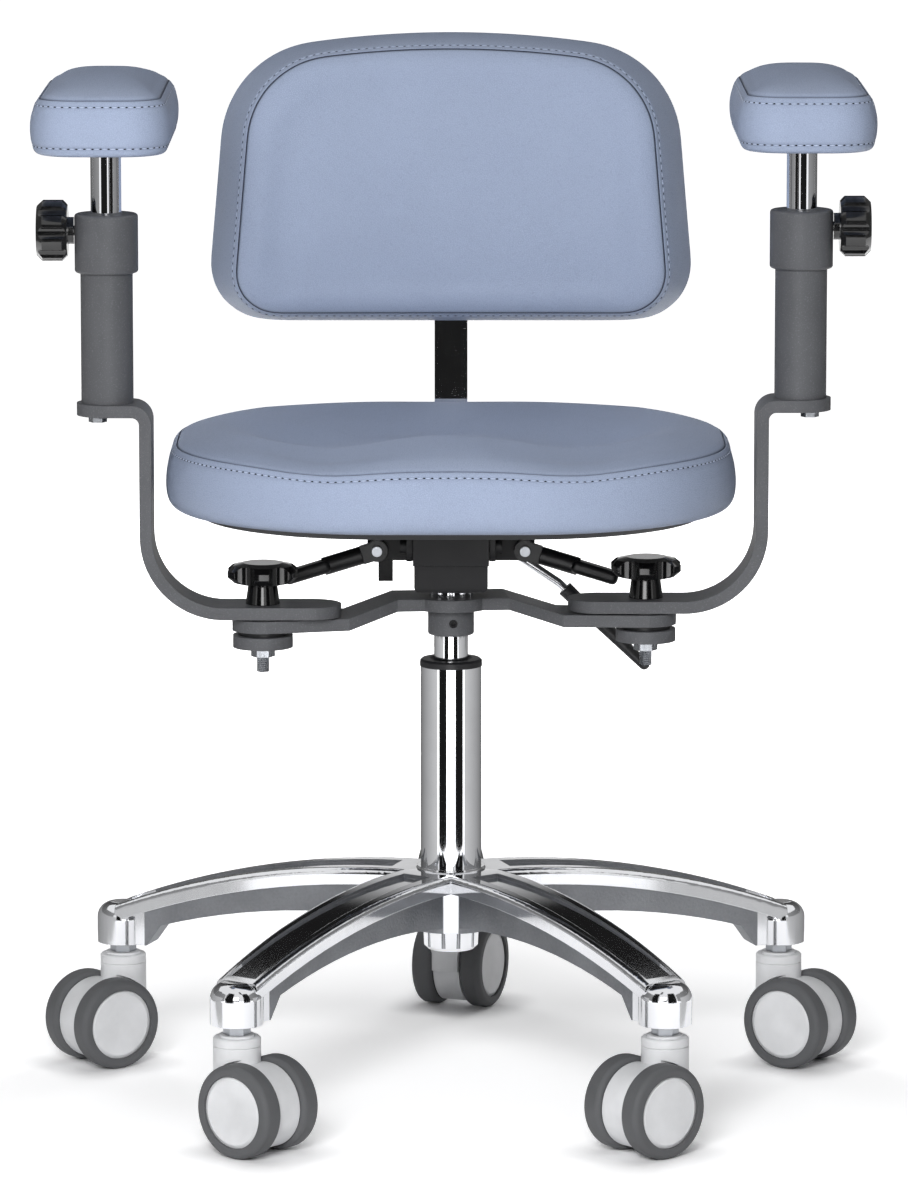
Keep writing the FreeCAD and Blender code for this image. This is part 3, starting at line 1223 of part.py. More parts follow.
def make_back_bar():
    """The chromed flat bar from the rear axle, bent up behind the seat and screwed to the back's shell."""
    lean = math.radians(number("Sizes.back_recline"))
    along = Vector(0, math.sin(lean), math.cos(lean))
    thick = number("Sizes.back_bar_thickness")
    middle = number("Sizes.back_shell_thickness + Sizes.press_clearance") + thick / 2
    centre = back_placement().multVec(Vector(0, middle, 0))
    axle = Vector(0, number("Sizes.back_axle_behind"), number("Places.back_axle_z"))
    corner = centre + along * ((axle.z - centre.z) / along.z)
    tangent = number("Sizes.back_bar_bend_radius") * math.tan((math.pi / 2 - lean) / 2)
    flat_end = corner - Vector(0, tangent, 0)
    rise_start = corner + along * tangent
    radius = number("Sizes.back_bar_bend_radius")
    bend_centre = flat_end + Vector(0, 0, radius)
    crest = bend_centre + (corner - bend_centre).normalize() * radius
    top = centre + along * number("Sizes.back_bar_overlap")
    curves = [Part.LineSegment(axle, flat_end), Part.Arc(flat_end, crest, rise_start),
              Part.LineSegment(rise_start, top)]
    path = Part.Wire([curve.toShape() for curve in curves])
    half = number("Sizes.back_bar_width / 2")
    outline = [(-half, -thick / 2), (half, -thick / 2), (half, thick / 2), (-half, thick / 2)]
    section = Part.makePolygon([axle + Vector(x, 0, z) for x, z in outline + outline[:1]])
    bar = path.makePipeShell([section], True, False)
    eye = number("Sizes.back_eye_diameter / 2")
    start = axle - Vector(half, 0, 0)
    bar = bar.fuse(Part.makeCylinder(eye, 2 * half, start, Vector(1, 0, 0)))
    bore = number("Sizes.axle_diameter / 2 + Sizes.running_clearance")
    bar = bar.cut(Part.makeCylinder(bore, 2 * half, start, Vector(1, 0, 0)))
    add_shape("back_bar", bar)


# Tilt mechanism and its levers

def make_mechanism():
    length = "(Sizes.mechanism_front + Sizes.pan_rear)"
    middle = "(Sizes.pan_rear - Sizes.mechanism_front) / 2"
    wall = "Sizes.mechanism_wall"
    outside = box("Sizes.pan_width", length, "Sizes.pan_height", "0", middle, "Places.pan_bottom")
    rounded = round_edges(outside, lambda edge: edge.CenterOfMass.z < number("Places.pan_bottom") + TOLERANCE,
                          "Sizes.pan_rounding")
    inside = box(f"Sizes.pan_width - 2 * {wall}", f"{length} - 2 * {wall}", f"Sizes.pan_height - {wall}",
                 "0", middle, f"Places.pan_bottom + {wall}")
    socket = cylinder("Sizes.socket_diameter / 2", f"Sizes.pan_height - {wall} / 2",
                      z=f"Places.pan_bottom + {wall} / 2")
    over = "Sizes.cutting_overrun"
    bore = cylinder("Places.cylinder_radius + Sizes.press_clearance", f"Sizes.pan_height + 2 * {over}",
                    z=f"Places.pan_bottom - {over}")
    keep(cut(fuse(cut(rounded, inside), socket), bore), "mechanism_pan")

    length = "(Sizes.mechanism_front + Sizes.mechanism_rear)"
    middle = "(Sizes.mechanism_rear - Sizes.mechanism_front) / 2"
    outside = box("Sizes.mechanism_width", length, "Sizes.housing_height", "0", middle,
                  "Places.housing_bottom")
    inside = box(f"Sizes.mechanism_width - 2 * {wall}", length, f"Sizes.housing_height - {wall}", "0",
                 f"{middle} + {wall}", "Places.housing_bottom")
    holes = [cylinder("Sizes.axle_diameter / 2 + Sizes.press_clearance", f"Sizes.mechanism_width + 2 * {over}",
                      f"-Sizes.mechanism_width / 2 - {over}", *axle, "x") for axle in axle_places()]
    keep(cut(outside, inside, *holes), "mechanism_housing")
    seat_reach = ("Sizes.mechanism_width / 2 + Sizes.seat_ear_thickness + 2 * Sizes.swing_clearance"
                  " + Sizes.axle_end_show")
    shafts = []
    for axle, reach in zip(axle_places(), (seat_reach, "Sizes.mechanism_width / 2")):
        shafts.append(cylinder("Sizes.axle_diameter / 2", f"2 * ({reach})", f"-({reach})", *axle, "x"))
    keep(group(*shafts), "tilt_axles")


def axle_places():
    """The y and z of the seat's axle and of the back's axle."""
    return [("-Sizes.seat_axle_ahead", "Places.seat_axle_z"),
            ("Sizes.back_axle_behind", "Places.back_axle_z")]


def make_lever_brackets():
    """The brackets on the housing's sides, a stop tab under the left one, and the screws of the levers."""
    brackets, screws = [], []
    y = "Sizes.lever_pivot_behind"
    z = "Places.lever_pivot_z"
    reach = "(Sizes.lever_pivot_reach + Sizes.bracket_overreach - Sizes.mechanism_width / 2)"
    for way in (-1, 1):
        pivot = f"{way} * Sizes.lever_pivot_reach"
        arm = box(reach, "Sizes.bracket_thickness", "Sizes.bracket_width",
                  f"{way} * (Sizes.mechanism_width / 2 + {reach} / 2)", y, f"{z} - Sizes.bracket_width / 2")
        hole = cylinder("Sizes.lever_screw_diameter / 2 + Sizes.press_clearance",
                        "Sizes.bracket_thickness * 2", pivot, f"{y} - Sizes.bracket_thickness", z, "y")
        if way < 0:
            tab = box("Sizes.bracket_tab_width", "Sizes.bracket_tab_thickness",
                      "Sizes.bracket_tab_height + Sizes.bracket_width / 4", "-Sizes.bracket_tab_reach", y,
                      f"{z} - Sizes.bracket_width / 2 - Sizes.bracket_tab_height")
            arm = fuse(arm, tab)
        brackets.append(cut(arm, hole))
        front = "Places.lever_face_y - Sizes.lever_hub_thickness - Sizes.swing_clearance"
        shank = cylinder("Sizes.lever_screw_diameter / 2", f"{y} + Sizes.bracket_thickness / 2 - ({front})",
                         pivot, front, z, "y")
        head = cylinder("Sizes.lever_screw_head_diameter / 2", "Sizes.lever_screw_head_height", pivot,
                        f"{front} - Sizes.lever_screw_head_height", z, "y")
        screws.append(fuse(shank, head))
    keep(group(*brackets), "lever_brackets")
    keep(group(*screws), "lever_screws")


def make_lever(label, way):
    """A hand lever: a hub on its screw, a round sleeve and a flat paddle, drawn along +X and then laid."""
    thick = "Sizes.lever_hub_thickness"
    hub = cylinder("Sizes.bracket_width / 2", thick, "0", f"-{thick}", "0", "y")
    start = "Sizes.lever_sleeve_start"
    end = "Sizes.lever_sleeve_start + Sizes.lever_sleeve_length"
    middle = f"-{thick} / 2"
    tongue = box(start, thick, "Sizes.lever_sleeve_diameter", f"{start} / 2", middle,
                 "-Sizes.lever_sleeve_diameter / 2")
    sleeve = cylinder("Sizes.lever_sleeve_diameter / 2", "Sizes.lever_sleeve_length", start, middle, "0", "x")
    root = "Sizes.lever_paddle_root"
    paddle = box(f"Sizes.lever_paddle_length + {root}", "Sizes.lever_paddle_width",
                 "Sizes.lever_paddle_thickness", f"{end} + (Sizes.lever_paddle_length - {root}) / 2", middle,
                 "-Sizes.lever_paddle_thickness / 2")
    soft = round_edges(paddle, lambda edge: True, "Sizes.lever_paddle_rounding")
    over = "Sizes.cutting_overrun"
    eye = cylinder("Sizes.lever_screw_diameter / 2 + Sizes.running_clearance", f"{thick} + 2 * {over}", "0",
                   f"-{thick} - {over}", "0", "y")
    lever = cut(fuse(hub, tongue, sleeve, soft), eye)
    turn = "Sizes.lever_drop_angle" if way > 0 else "180 - Sizes.lever_drop_angle"
    spot = (f"{way} * Sizes.lever_pivot_reach", "Places.lever_face_y", "Places.lever_pivot_z")
    keep(place(lever, *spot, turn=turn, axis=Vector(0, 1, 0)), label)


def make_back_lever():
    """The bright rod on the right that frees the back, and its black grip."""
    rod_radius = number("Sizes.back_lever_diameter / 2")
    start = Vector(number("Sizes.mechanism_width / 2 + Sizes.swing_clearance") + rod_radius,
                   number("Sizes.back_lever_behind"), number("Places.back_lever_z"))
    first = math.radians(number("Sizes.back_lever_angle"))
    second = math.radians(number("Sizes.grip_angle"))
    rod_way = Vector(math.cos(first), 0, -math.sin(first))
    grip_way = Vector(math.cos(second), 0, -math.sin(second))
    knee = start + rod_way * number("Sizes.back_lever_length")
    insertion = number("Sizes.grip_insertion")
    barrel = number("Sizes.back_lever_barrel")
    rod = Part.makeCylinder(rod_radius, number("Sizes.back_lever_length"), start, rod_way)
    rod = rod.fuse([Part.makeSphere(rod_radius, knee),
                    Part.makeCylinder(rod_radius, barrel, start - Vector(0, barrel / 2, 0), Vector(0, 1, 0)),
                    Part.makeCylinder(rod_radius, insertion, knee, grip_way)])
    add_shape("back_lever_rod", rod)
    fit = number("Sizes.press_clearance")
    root, tip = number("Sizes.grip_root_diameter / 2"), number("Sizes.grip_tip_diameter / 2")
    grip_start = knee + grip_way * rod_radius * 2
    length = number("Sizes.grip_length")
    grip = Part.makeCone(root, tip, length, grip_start, grip_way)
    grip = grip.fuse(Part.makeSphere(tip, grip_start + grip_way * length))
    hollow = Part.makeCylinder(rod_radius + fit, insertion - rod_radius * 2 + fit, grip_start, grip_way)
    add_shape("back_lever_grip", grip.cut(hollow))


def make_chair():
    make_base_star()
    make_caster_stems()
    for index in range(len(CASTER_NAMES)):
        make_caster(index)
    make_column()
    make_gas_lift()
    make_carrier()
    make_swing_hardware()
    for name, side in SIDES.items():
        make_arm_bar(name, side)
        make_post(name, side)
        make_hand_wheel(name, side)
        make_swing_knob(name)
        make_pad(name)
    make_seat()
    make_back()
    make_back_bar()
    make_mechanism()
    make_lever_brackets()
    make_lever("seat_lever", -1)
    make_lever("height_lever", 1)
    make_back_lever()
    doc.recompute()


def check_chair():
    """Stop if any object failed or any sub-part has no valid shape."""
    for thing in doc.Objects:
        if any(state in ("Invalid", "Error") for state in thing.State):
            raise RuntimeError(f"{thing.Label} failed: {thing.State}")
    for part in subparts:
        if part.Shape.isNull() or not part.Shape.isValid() or not part.Shape.Solids:
            raise RuntimeError(f"{part.Label} has no valid solid")


make_chair()
check_chair()
os.makedirs("parts", exist_ok=True)
for part in subparts:
    part.Shape.exportStep(os.path.join("parts", part.Label + ".step"))
print(len(subparts), "sub-parts written")
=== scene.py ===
"""Looks of a laboratory chair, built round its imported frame: upholstery, finishes, studio and camera."""
import math

import bmesh
import bpy
from bpy.props import FloatProperty, FloatVectorProperty, PointerProperty
from bpy.types import Operator, Panel, PropertyGroup
from mathutils import Matrix, Vector, noise


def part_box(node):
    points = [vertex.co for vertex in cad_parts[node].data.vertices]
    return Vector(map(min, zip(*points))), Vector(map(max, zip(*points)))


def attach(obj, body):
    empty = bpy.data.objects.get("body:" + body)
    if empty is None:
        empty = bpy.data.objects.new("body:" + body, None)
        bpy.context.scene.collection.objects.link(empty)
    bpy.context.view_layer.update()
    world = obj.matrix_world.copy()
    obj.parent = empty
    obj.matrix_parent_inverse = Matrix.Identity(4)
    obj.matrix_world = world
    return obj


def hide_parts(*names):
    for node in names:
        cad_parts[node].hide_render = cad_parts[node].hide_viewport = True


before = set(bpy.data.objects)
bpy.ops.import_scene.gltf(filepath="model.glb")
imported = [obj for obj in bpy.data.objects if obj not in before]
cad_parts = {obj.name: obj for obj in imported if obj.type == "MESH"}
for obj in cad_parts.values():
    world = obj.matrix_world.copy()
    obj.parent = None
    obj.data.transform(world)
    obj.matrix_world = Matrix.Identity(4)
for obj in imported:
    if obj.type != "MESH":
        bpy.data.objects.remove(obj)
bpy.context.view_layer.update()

bl_info = {
    "name": "Laboratory Chair",
    "version": (1, 0, 0),
    "blender": (4, 5, 0),
    "location": "View3D > Sidebar > Chair",
    "description": "Dresses the packed frame of a laboratory chair",
    "category": "Object",
}

MM = 0.001
SIDES = ("left", "right")


# Settings that a user would change

def length(name, millimetres, about):
    return FloatProperty(name=name, description=about, default=millimetres * MM, unit="LENGTH", precision=4)


def angle(name, degrees, about):
    return FloatProperty(name=name, description=about, default=math.radians(degrees), subtype="ANGLE")


def power(name, watts, about):
    return FloatProperty(name=name, description=about, default=watts, unit="POWER")


def to_linear(channel):
    share = channel / 255
    return share / 12.92 if share <= 0.04045 else ((share + 0.055) / 1.055) ** 2.4


def colour(name, red, green, blue, about):
    return FloatVectorProperty(name=name, description=about, subtype="COLOR", size=3, min=0.0, max=1.0,
                               default=[to_linear(channel) for channel in (red, green, blue)])


class ChairUpholstery(PropertyGroup):
    leather: colour("Leatherette", 151, 163, 187, "Steel blue of the upholstery")
    # Painted shade in the seams and creases of the cover, and in the furrows of its grain
    crease_shade: colour("Crease", 30, 37, 54, "Leatherette deep in a seam")
    thread: colour("Thread", 176, 188, 212, "Sewing thread")
    hole: colour("Needle hole", 18, 22, 32, "Shade inside a needle hole")
    grain: length("Grain", 1.5, "Width of one cell of the embossed grain")
    stitch_pitch: length("Stitch pitch", 6.4, "Distance from one stitch to the next")
    stitch_length: length("Stitch length", 4.4, "Thread that shows of one stitch")
    thread_radius: length("Thread radius", 0.5, "Half the thickness of the thread")
    pressure: FloatProperty(name="Pressure", description="Push of the foam in the simulation", default=4.0)
    seat_swell: length("Seat swell", 0.8, "Most that the foam pushes the seat's cover out")
    back_swell: length("Back swell", 1.0, "Most that the foam pushes the back's cover out")
    pad_swell: length("Pad swell", 1.4, "Most that the foam pushes an armrest's cover out")
    seat_front_round: length("Seat front round", 175, "Radius of the seat's front corners")
    seat_rear_round: length("Seat rear round", 188, "Radius of the seat's rear corners")
    pad_round: length("Armrest round", 38, "Radius of an armrest's corners")
    back_shoulder: length("Back shoulder", 380, "Width of the back at its shoulders")
    back_top_round: length("Back top round", 89, "Radius of the back's upper corners")
    back_foot_round: length("Back foot round", 48, "Radius of the back's lower corners")
    back_arch: length("Back arch", 860, "Radius of the back's upper edge")
    back_hollow: length("Back hollow", 1150, "Radius of the back's hollowed front")
    back_recline: angle("Back recline", 6, "Lean of the back")


class ChairFinishes(PropertyGroup):
    coat: colour("Powder coat", 84, 85, 88, "Dark grey powder coat of bars and posts")
    plastic: colour("Black plastic", 26, 26, 28, "Levers, bush and washers")
    knob: colour("Knob", 12, 12, 13, "Gloss black of knobs and hand wheels")
    steel: colour("Black steel", 24, 24, 26, "Pressed steel of the mechanism")
    shell: colour("Shell", 30, 31, 34, "Moulded shells under the seat and behind the back")
    aluminium: colour("Aluminium", 226, 227, 230, "Polished star base")
    casting: colour("Casting", 150, 152, 156, "Rough webs under the star base")
    chrome: colour("Chrome", 238, 239, 242, "Column, rods and bar")
    zinc: colour("Zinc", 172, 175, 180, "Plated nuts and screws")
    caster: colour("Caster", 216, 217, 219, "Pale grey caster bodies and wheels")
    tread: colour("Tread", 86, 87, 89, "Soft grey tyres")


class ChairStudio(PropertyGroup):
    camera_distance: length("Camera distance", 5800, "From the camera to the aim point")
    camera_pitch: angle("Camera pitch", 9, "How far the camera looks down")
    aim_height: length("Aim height", 406.3, "Height of the aim point on the column's axis")
    lens: FloatProperty(name="Lens", description="Focal length in millimetres", default=211.6, unit="CAMERA")
    shift: FloatProperty(name="Shift", description="Sideways shift of the picture", default=0.0025)
    floor: colour("Floor", 246, 246, 247, "Pale floor")
    glow: FloatProperty(name="Glow", description="Light that the floor adds round the chair", default=0.36)
    fill: FloatProperty(name="Fill", description="Strength of the even light all round", default=0.1)
    key: power("Key", 106.0, "Power of the large lamp at the front")
    side: power("Side", 52.0, "Power of the lamp behind each side")
    top: power("Top", 7.0, "Power of the lamp overhead")


# Node trees; the scales of noises are in waves per metre

STRAY_SCALE, STRAY_REACH = 420.0, 0.0012
PORE_SCALE, PORE_DEPTH = 1900.0, 0.35
LEATHER_CLOUD_SCALE = 14.0
SKIN_CLOUD_SCALE = 23.0
SPECK_SCALE = 950.0
SMUDGE_SCALE = 19.0
FURROW_WIDTH = 0.22
STREAK_SQUEEZE = 0.12
FIRST_ARM_HEADING = math.radians(18)
WEB_MOST_UP, UNDERSIDE_MOST_UP = 0.3, -0.4


def add_node(tree, kind, inputs=None, **settings):
    """Adds a shader node: an input that is a socket is linked, any other input is set."""
    node = tree.nodes.new("ShaderNode" + kind)
    for name, value in settings.items():
        setattr(node, name, value)
    for name, value in (inputs or {}).items():
        if isinstance(value, bpy.types.NodeSocket):
            tree.links.new(value, node.inputs[name])
        else:
            node.inputs[name].default_value = value
    return node


def feed(tree, node, **sockets):
    """Links sockets into the inputs of a node; _ in a name stands for a space."""
    for name, socket in sockets.items():
        tree.links.new(socket, node.inputs[name.replace("_", " ")])


def math_node(tree, operation, first, second=0.0):
    return add_node(tree, "Math", {0: first, 1: second}, operation=operation).outputs[0]


def remap(tree, value, low, high, to_low, to_high):
    inputs = {"Value": value, "From Min": low, "From Max": high, "To Min": to_low, "To Max": to_high}
    return add_node(tree, "MapRange", inputs).outputs[0]


def noise_node(tree, coordinates, scale, detail=3.0):
    inputs = {"Vector": coordinates, "Scale": scale, "Detail": detail}
    return add_node(tree, "TexNoise", inputs).outputs[0]


def new_group(name, inputs, outputs):
    """An empty node group with number sockets, its object coordinates and its input and output nodes."""
    tree = bpy.data.node_groups.new(name, "ShaderNodeTree")
    for label, default in inputs.items():
        socket = tree.interface.new_socket(label, in_out="INPUT", socket_type="NodeSocketFloat")
        socket.default_value = default
    for label in outputs:
        tree.interface.new_socket(label, in_out="OUTPUT", socket_type="NodeSocketFloat")
    coordinates = add_node(tree, "TexCoord").outputs["Object"]
    return tree, coordinates, tree.nodes.new("NodeGroupInput"), tree.nodes.new("NodeGroupOutput")


def make_grain_group():
    """Embossed leather grain: cells parted by fine furrows, and a slow change of tone."""
    tree, place, given, result = new_group("Leather Grain", {"Cell": 0.0015}, ["Height", "Tone"])
    scale = math_node(tree, "DIVIDE", 1.0, given.outputs["Cell"])
    stray = add_node(tree, "TexNoise", {"Vector": place, "Scale": STRAY_SCALE, "Detail": 2.0}).outputs["Color"]
    drawn = add_node(tree, "MixRGB", {"Fac": STRAY_REACH, "Color1": place, "Color2": stray}, blend_type="ADD")
    cells = add_node(tree, "TexVoronoi", {"Vector": drawn.outputs[0], "Scale": scale},
                     feature="DISTANCE_TO_EDGE").outputs["Distance"]
    furrow = remap(tree, cells, 0.0, FURROW_WIDTH, 0.0, 1.0)
    pores = noise_node(tree, place, PORE_SCALE)
    height = math_node(tree, "MULTIPLY_ADD", pores, PORE_DEPTH)
    tree.links.new(furrow, height.node.inputs[2])
    slow = noise_node(tree, place, LEATHER_CLOUD_SCALE, 4.0)
    feed(tree, result, Height=height, Tone=remap(tree, slow, 0.3, 0.7, 0.0, 1.0))
    return tree


def make_pebble_group():
    """Fine orange peel of a sprayed or moulded skin, with a cloudy change of tone."""
    tree, place, given, result = new_group("Fine Pebble", {"Size": 0.0012}, ["Height", "Tone", "Speck"])
    scale = math_node(tree, "DIVIDE", 1.0, given.outputs["Size"])
    bumps = noise_node(tree, place, scale, 2.0)
    clouds = noise_node(tree, place, SKIN_CLOUD_SCALE, 5.0)
    specks = noise_node(tree, place, SPECK_SCALE, 1.0)
    feed(tree, result, Height=bumps, Tone=remap(tree, clouds, 0.3, 0.7, 0.0, 1.0),
         Speck=remap(tree, specks, 0.58, 0.72, 0.0, 1.0))
    return tree


def make_polish_group():
    """Traces of polishing and handling: long faint streaks and soft smudges."""
    tree, place, given, result = new_group("Polish Marks", {"Streak": 0.004}, ["Marks", "Smudge"])
    scale = math_node(tree, "DIVIDE", 1.0, given.outputs["Streak"])
    squeezed = add_node(tree, "Mapping", {"Vector": place, "Scale": (1.0, 1.0, STREAK_SQUEEZE)}).outputs[0]
    streaks = noise_node(tree, squeezed, scale, 4.0)
    smudges = noise_node(tree, place, SMUDGE_SCALE, 5.0)
    feed(tree, result, Marks=remap(tree, streaks, 0.35, 0.65, 0.0, 1.0),
         Smudge=remap(tree, smudges, 0.42, 0.68, 0.0, 1.0))
    return tree


def make_casting_group():
    """1 on the unpolished webs under the arms of the star base."""
    tree, place, given, result = new_group("Casting Mask", {"Web": 0.0146, "Reach": 0.266}, ["Cast"])
    x, y, _ = add_node(tree, "SeparateXYZ", {0: place}).outputs
    heading = math_node(tree, "SUBTRACT", math_node(tree, "ARCTAN2", y, x), FIRST_ARM_HEADING)
    half_turn = math.pi / 5
    folded = add_node(tree, "Math", {0: heading, 1: half_turn, 2: -half_turn}, operation="WRAP").outputs[0]
    flat_place = add_node(tree, "CombineXYZ", {0: x, 1: y}).outputs[0]
    radius = add_node(tree, "VectorMath", {0: flat_place}, operation="LENGTH").outputs["Value"]
    beside = math_node(tree, "ABSOLUTE", math_node(tree, "MULTIPLY", radius, math_node(tree, "SINE", folded)))
    up = add_node(tree, "SeparateXYZ", {0: add_node(tree, "NewGeometry").outputs["True Normal"]}).outputs[2]
    web = math_node(tree, "MULTIPLY", math_node(tree, "LESS_THAN", beside, given.outputs["Web"]),
                    math_node(tree, "LESS_THAN", up, WEB_MOST_UP))
    under = math_node(tree, "MAXIMUM", web, math_node(tree, "LESS_THAN", up, UNDERSIDE_MOST_UP))
    inside = math_node(tree, "LESS_THAN", radius, given.outputs["Reach"])
    feed(tree, result, Cast=math_node(tree, "MULTIPLY", under, inside))
    return tree


GROUPS = {
    "Leather Grain": make_grain_group,
    "Fine Pebble": make_pebble_group,
    "Polish Marks": make_polish_group,
    "Casting Mask": make_casting_group,
}


def use_group(tree, name, inputs=None):
    shared = bpy.data.node_groups.get(name) or GROUPS[name]()
    node = tree.nodes.new("ShaderNodeGroup")
    node.node_tree = shared
    for label, value in (inputs or {}).items():
        node.inputs[label].default_value = value
    return node.outputs


def new_material(name, **sockets):
    """The node tree and the Principled BSDF, its plain sockets set, of a new material."""
    material = bpy.data.materials.new(name)
    material.use_nodes = True
    tree = material.node_tree
    shader = tree.nodes["Principled BSDF"]
    for label, value in sockets.items():
        shader.inputs[label.replace("_", " ")].default_value = value
    return tree, shader


def opaque(shade, lift=1.0):
    return (shade[0] * lift, shade[1] * lift, shade[2] * lift, 1.0)


def mix_colour(tree, amount, first, second):
    node = add_node(tree, "Mix", data_type="RGBA")
    sockets = {"Factor_Float": amount, "A_Color": first, "B_Color": second}
    for socket in node.inputs:
        value = sockets.get(socket.identifier)
        if isinstance(value, bpy.types.NodeSocket):
            tree.links.new(value, socket)
        elif value is not None:
            socket.default_value = value
    return next(socket for socket in node.outputs if socket.identifier == "Result_Color")


def bump(tree, shader, height, distance, strength=1.0, rounding=None):
    """Feeds a height into the shader's normal, over edges that are eased by a small rounding."""
    inputs = {"Height": height, "Distance": distance, "Strength": strength}
    if rounding:
        inputs["Normal"] = add_node(tree, "Bevel", {"Radius": rounding}, samples=4).outputs[0]
    feed(tree, shader, Normal=add_node(tree, "Bump", inputs).outputs[0])


GRAIN_DEPTH = 0.16 * MM
TWIST = 0.4 * MM
TWIST_DEPTH = 0.1 * MM
STREAK_DEPTH = 0.01 * MM
CASTING_PEBBLE = 2.2 * MM
CASTING_DEPTH = 0.4 * MM
CASTING_ROUNDING = 0.8 * MM
BASE_STREAK = 3.0 * MM
STUD_STREAK = 2.0 * MM


def make_leatherette():
    looks = bpy.context.scene.chair_upholstery
    tree, shader = new_material("leatherette", Specular_IOR_Level=0.36)
    grain = use_group(tree, "Leather Grain", {"Cell": looks.grain})
    # Painted shade: the crease attribute darkens seams and creases, and the furrows of the grain are darkened
    # towards the same shade
    seam = add_node(tree, "Attribute", attribute_name="crease_shade").outputs["Fac"]
    toned = mix_colour(tree, grain["Tone"], opaque(looks.leather, 0.98), opaque(looks.leather, 1.02))
    furrow_shade = remap(tree, grain["Height"], 0.1, 0.8, 0.16, 0.0)
    furrowed = mix_colour(tree, furrow_shade, toned, opaque(looks.crease_shade))
    feed(tree, shader, Base_Color=mix_colour(tree, seam, furrowed, opaque(looks.crease_shade)),
         Roughness=remap(tree, grain["Height"], 0.0, 1.3, 0.54, 0.36))
    bump(tree, shader, grain["Height"], GRAIN_DEPTH, 0.7)


def make_thread():
    looks = bpy.context.scene.chair_upholstery
    tree, shader = new_material("thread", Roughness=0.7, Sheen_Weight=0.2)
    twist = use_group(tree, "Fine Pebble", {"Size": TWIST})
    # Painted shade and highlight: the thread is darker in the hollows of its twist and lighter on its ridges
    relief_shades = opaque(looks.thread, 0.8), opaque(looks.thread, 1.1)
    feed(tree, shader, Base_Color=mix_colour(tree, twist["Height"], *relief_shades))
    bump(tree, shader, twist["Height"], TWIST_DEPTH)
    # Needle holes are dark discs of painted shade, a little darker where their relief is low
    tree, shader = new_material("needle_hole", Roughness=0.9)
    shadow = use_group(tree, "Fine Pebble", {"Size": TWIST})
    relief_shades = opaque(looks.hole, 0.7), opaque(looks.hole)
    feed(tree, shader, Base_Color=mix_colour(tree, shadow["Height"], *relief_shades))


def make_skin(name, shade, pebbles, rough, spread, rounding, speck=0.0, coat=0.0, gloss=0.5):
    """A sprayed or moulded skin: cloudy, with eased edges and pebbles of a size and a relief."""
    size, relief = pebbles
    tree, shader = new_material(name, Coat_Weight=coat, Coat_Roughness=0.08, Specular_IOR_Level=gloss)
    pebble = use_group(tree, "Fine Pebble", {"Size": size})
    cloudy = mix_colour(tree, pebble["Tone"], opaque(shade, 0.88), opaque(shade, 1.1))
    glints = math_node(tree, "MULTIPLY", pebble["Speck"], speck)
    feed(tree, shader, Base_Color=mix_colour(tree, glints, cloudy, opaque(shade, 2.6)),
         Roughness=remap(tree, pebble["Tone"], 0.0, 1.0, rough - spread, rough + spread))
    bump(tree, shader, pebble["Height"], relief, 0.6, rounding)


def polish_metal(name, shade, dim, streak, rough, spread):
    """A bright metal with smudges and streaks; returns its tree, its shader and the mask of the streaks."""
    tree, shader = new_material(name, Metallic=1.0)
    polish = use_group(tree, "Polish Marks", {"Streak": streak})
    feed(tree, shader, Base_Color=mix_colour(tree, polish["Smudge"], opaque(shade), opaque(shade, dim)),
         Roughness=remap(tree, polish["Marks"], 0.0, 1.0, rough, rough + spread))
    return tree, shader, polish["Marks"]


def make_metal(name, shade, streak, rough, spread, rounding=None):
    """A bright metal with faint polishing streaks and smudges."""
    tree, shader, marks = polish_metal(name, shade, 0.92, streak, rough, spread)
    bump(tree, shader, marks, STREAK_DEPTH, 0.08, rounding)


def make_base_metal(name, shade, casting):
    """Polished aluminium whose webs are left as cast."""
    tree, shader = new_material(name, Metallic=1.0)
    polish = use_group(tree, "Polish Marks", {"Streak": BASE_STREAK})
    skin = use_group(tree, "Fine Pebble", {"Size": CASTING_PEBBLE})
    cast = use_group(tree, "Casting Mask")["Cast"]
    polished = mix_colour(tree, polish["Smudge"], opaque(shade), opaque(shade, 0.93))
    rough = mix_colour(tree, skin["Tone"], opaque(casting, 0.85), opaque(casting, 1.1))
    gloss = remap(tree, polish["Marks"], 0.0, 1.0, 0.08, 0.1)
    dull = remap(tree, skin["Height"], 0.3, 0.7, 0.5, 0.62)
    feed(tree, shader, Base_Color=mix_colour(tree, cast, polished, rough),
         Roughness=add_node(tree, "Mix", {0: cast, 2: gloss, 3: dull}).outputs[0])
    relief = math_node(tree, "MULTIPLY", math_node(tree, "MULTIPLY", skin["Height"], CASTING_DEPTH), cast)
    bump(tree, shader, relief, 1.0, 1.0, CASTING_ROUNDING)


def make_threaded(name, shade, pitch, top):
    """Plated steel with a screw thread below a level."""
    tree, shader, _ = polish_metal(name, shade, 0.9, STUD_STREAK, 0.2, 0.12)
    level = add_node(tree, "SeparateXYZ", {0: add_node(tree, "TexCoord").outputs["Object"]}).outputs[2]
    turns = math_node(tree, "PINGPONG", level, pitch / 2)
    cut = math_node(tree, "MULTIPLY", turns, math_node(tree, "LESS_THAN", level, top))
    bump(tree, shader, cut, 1.0)


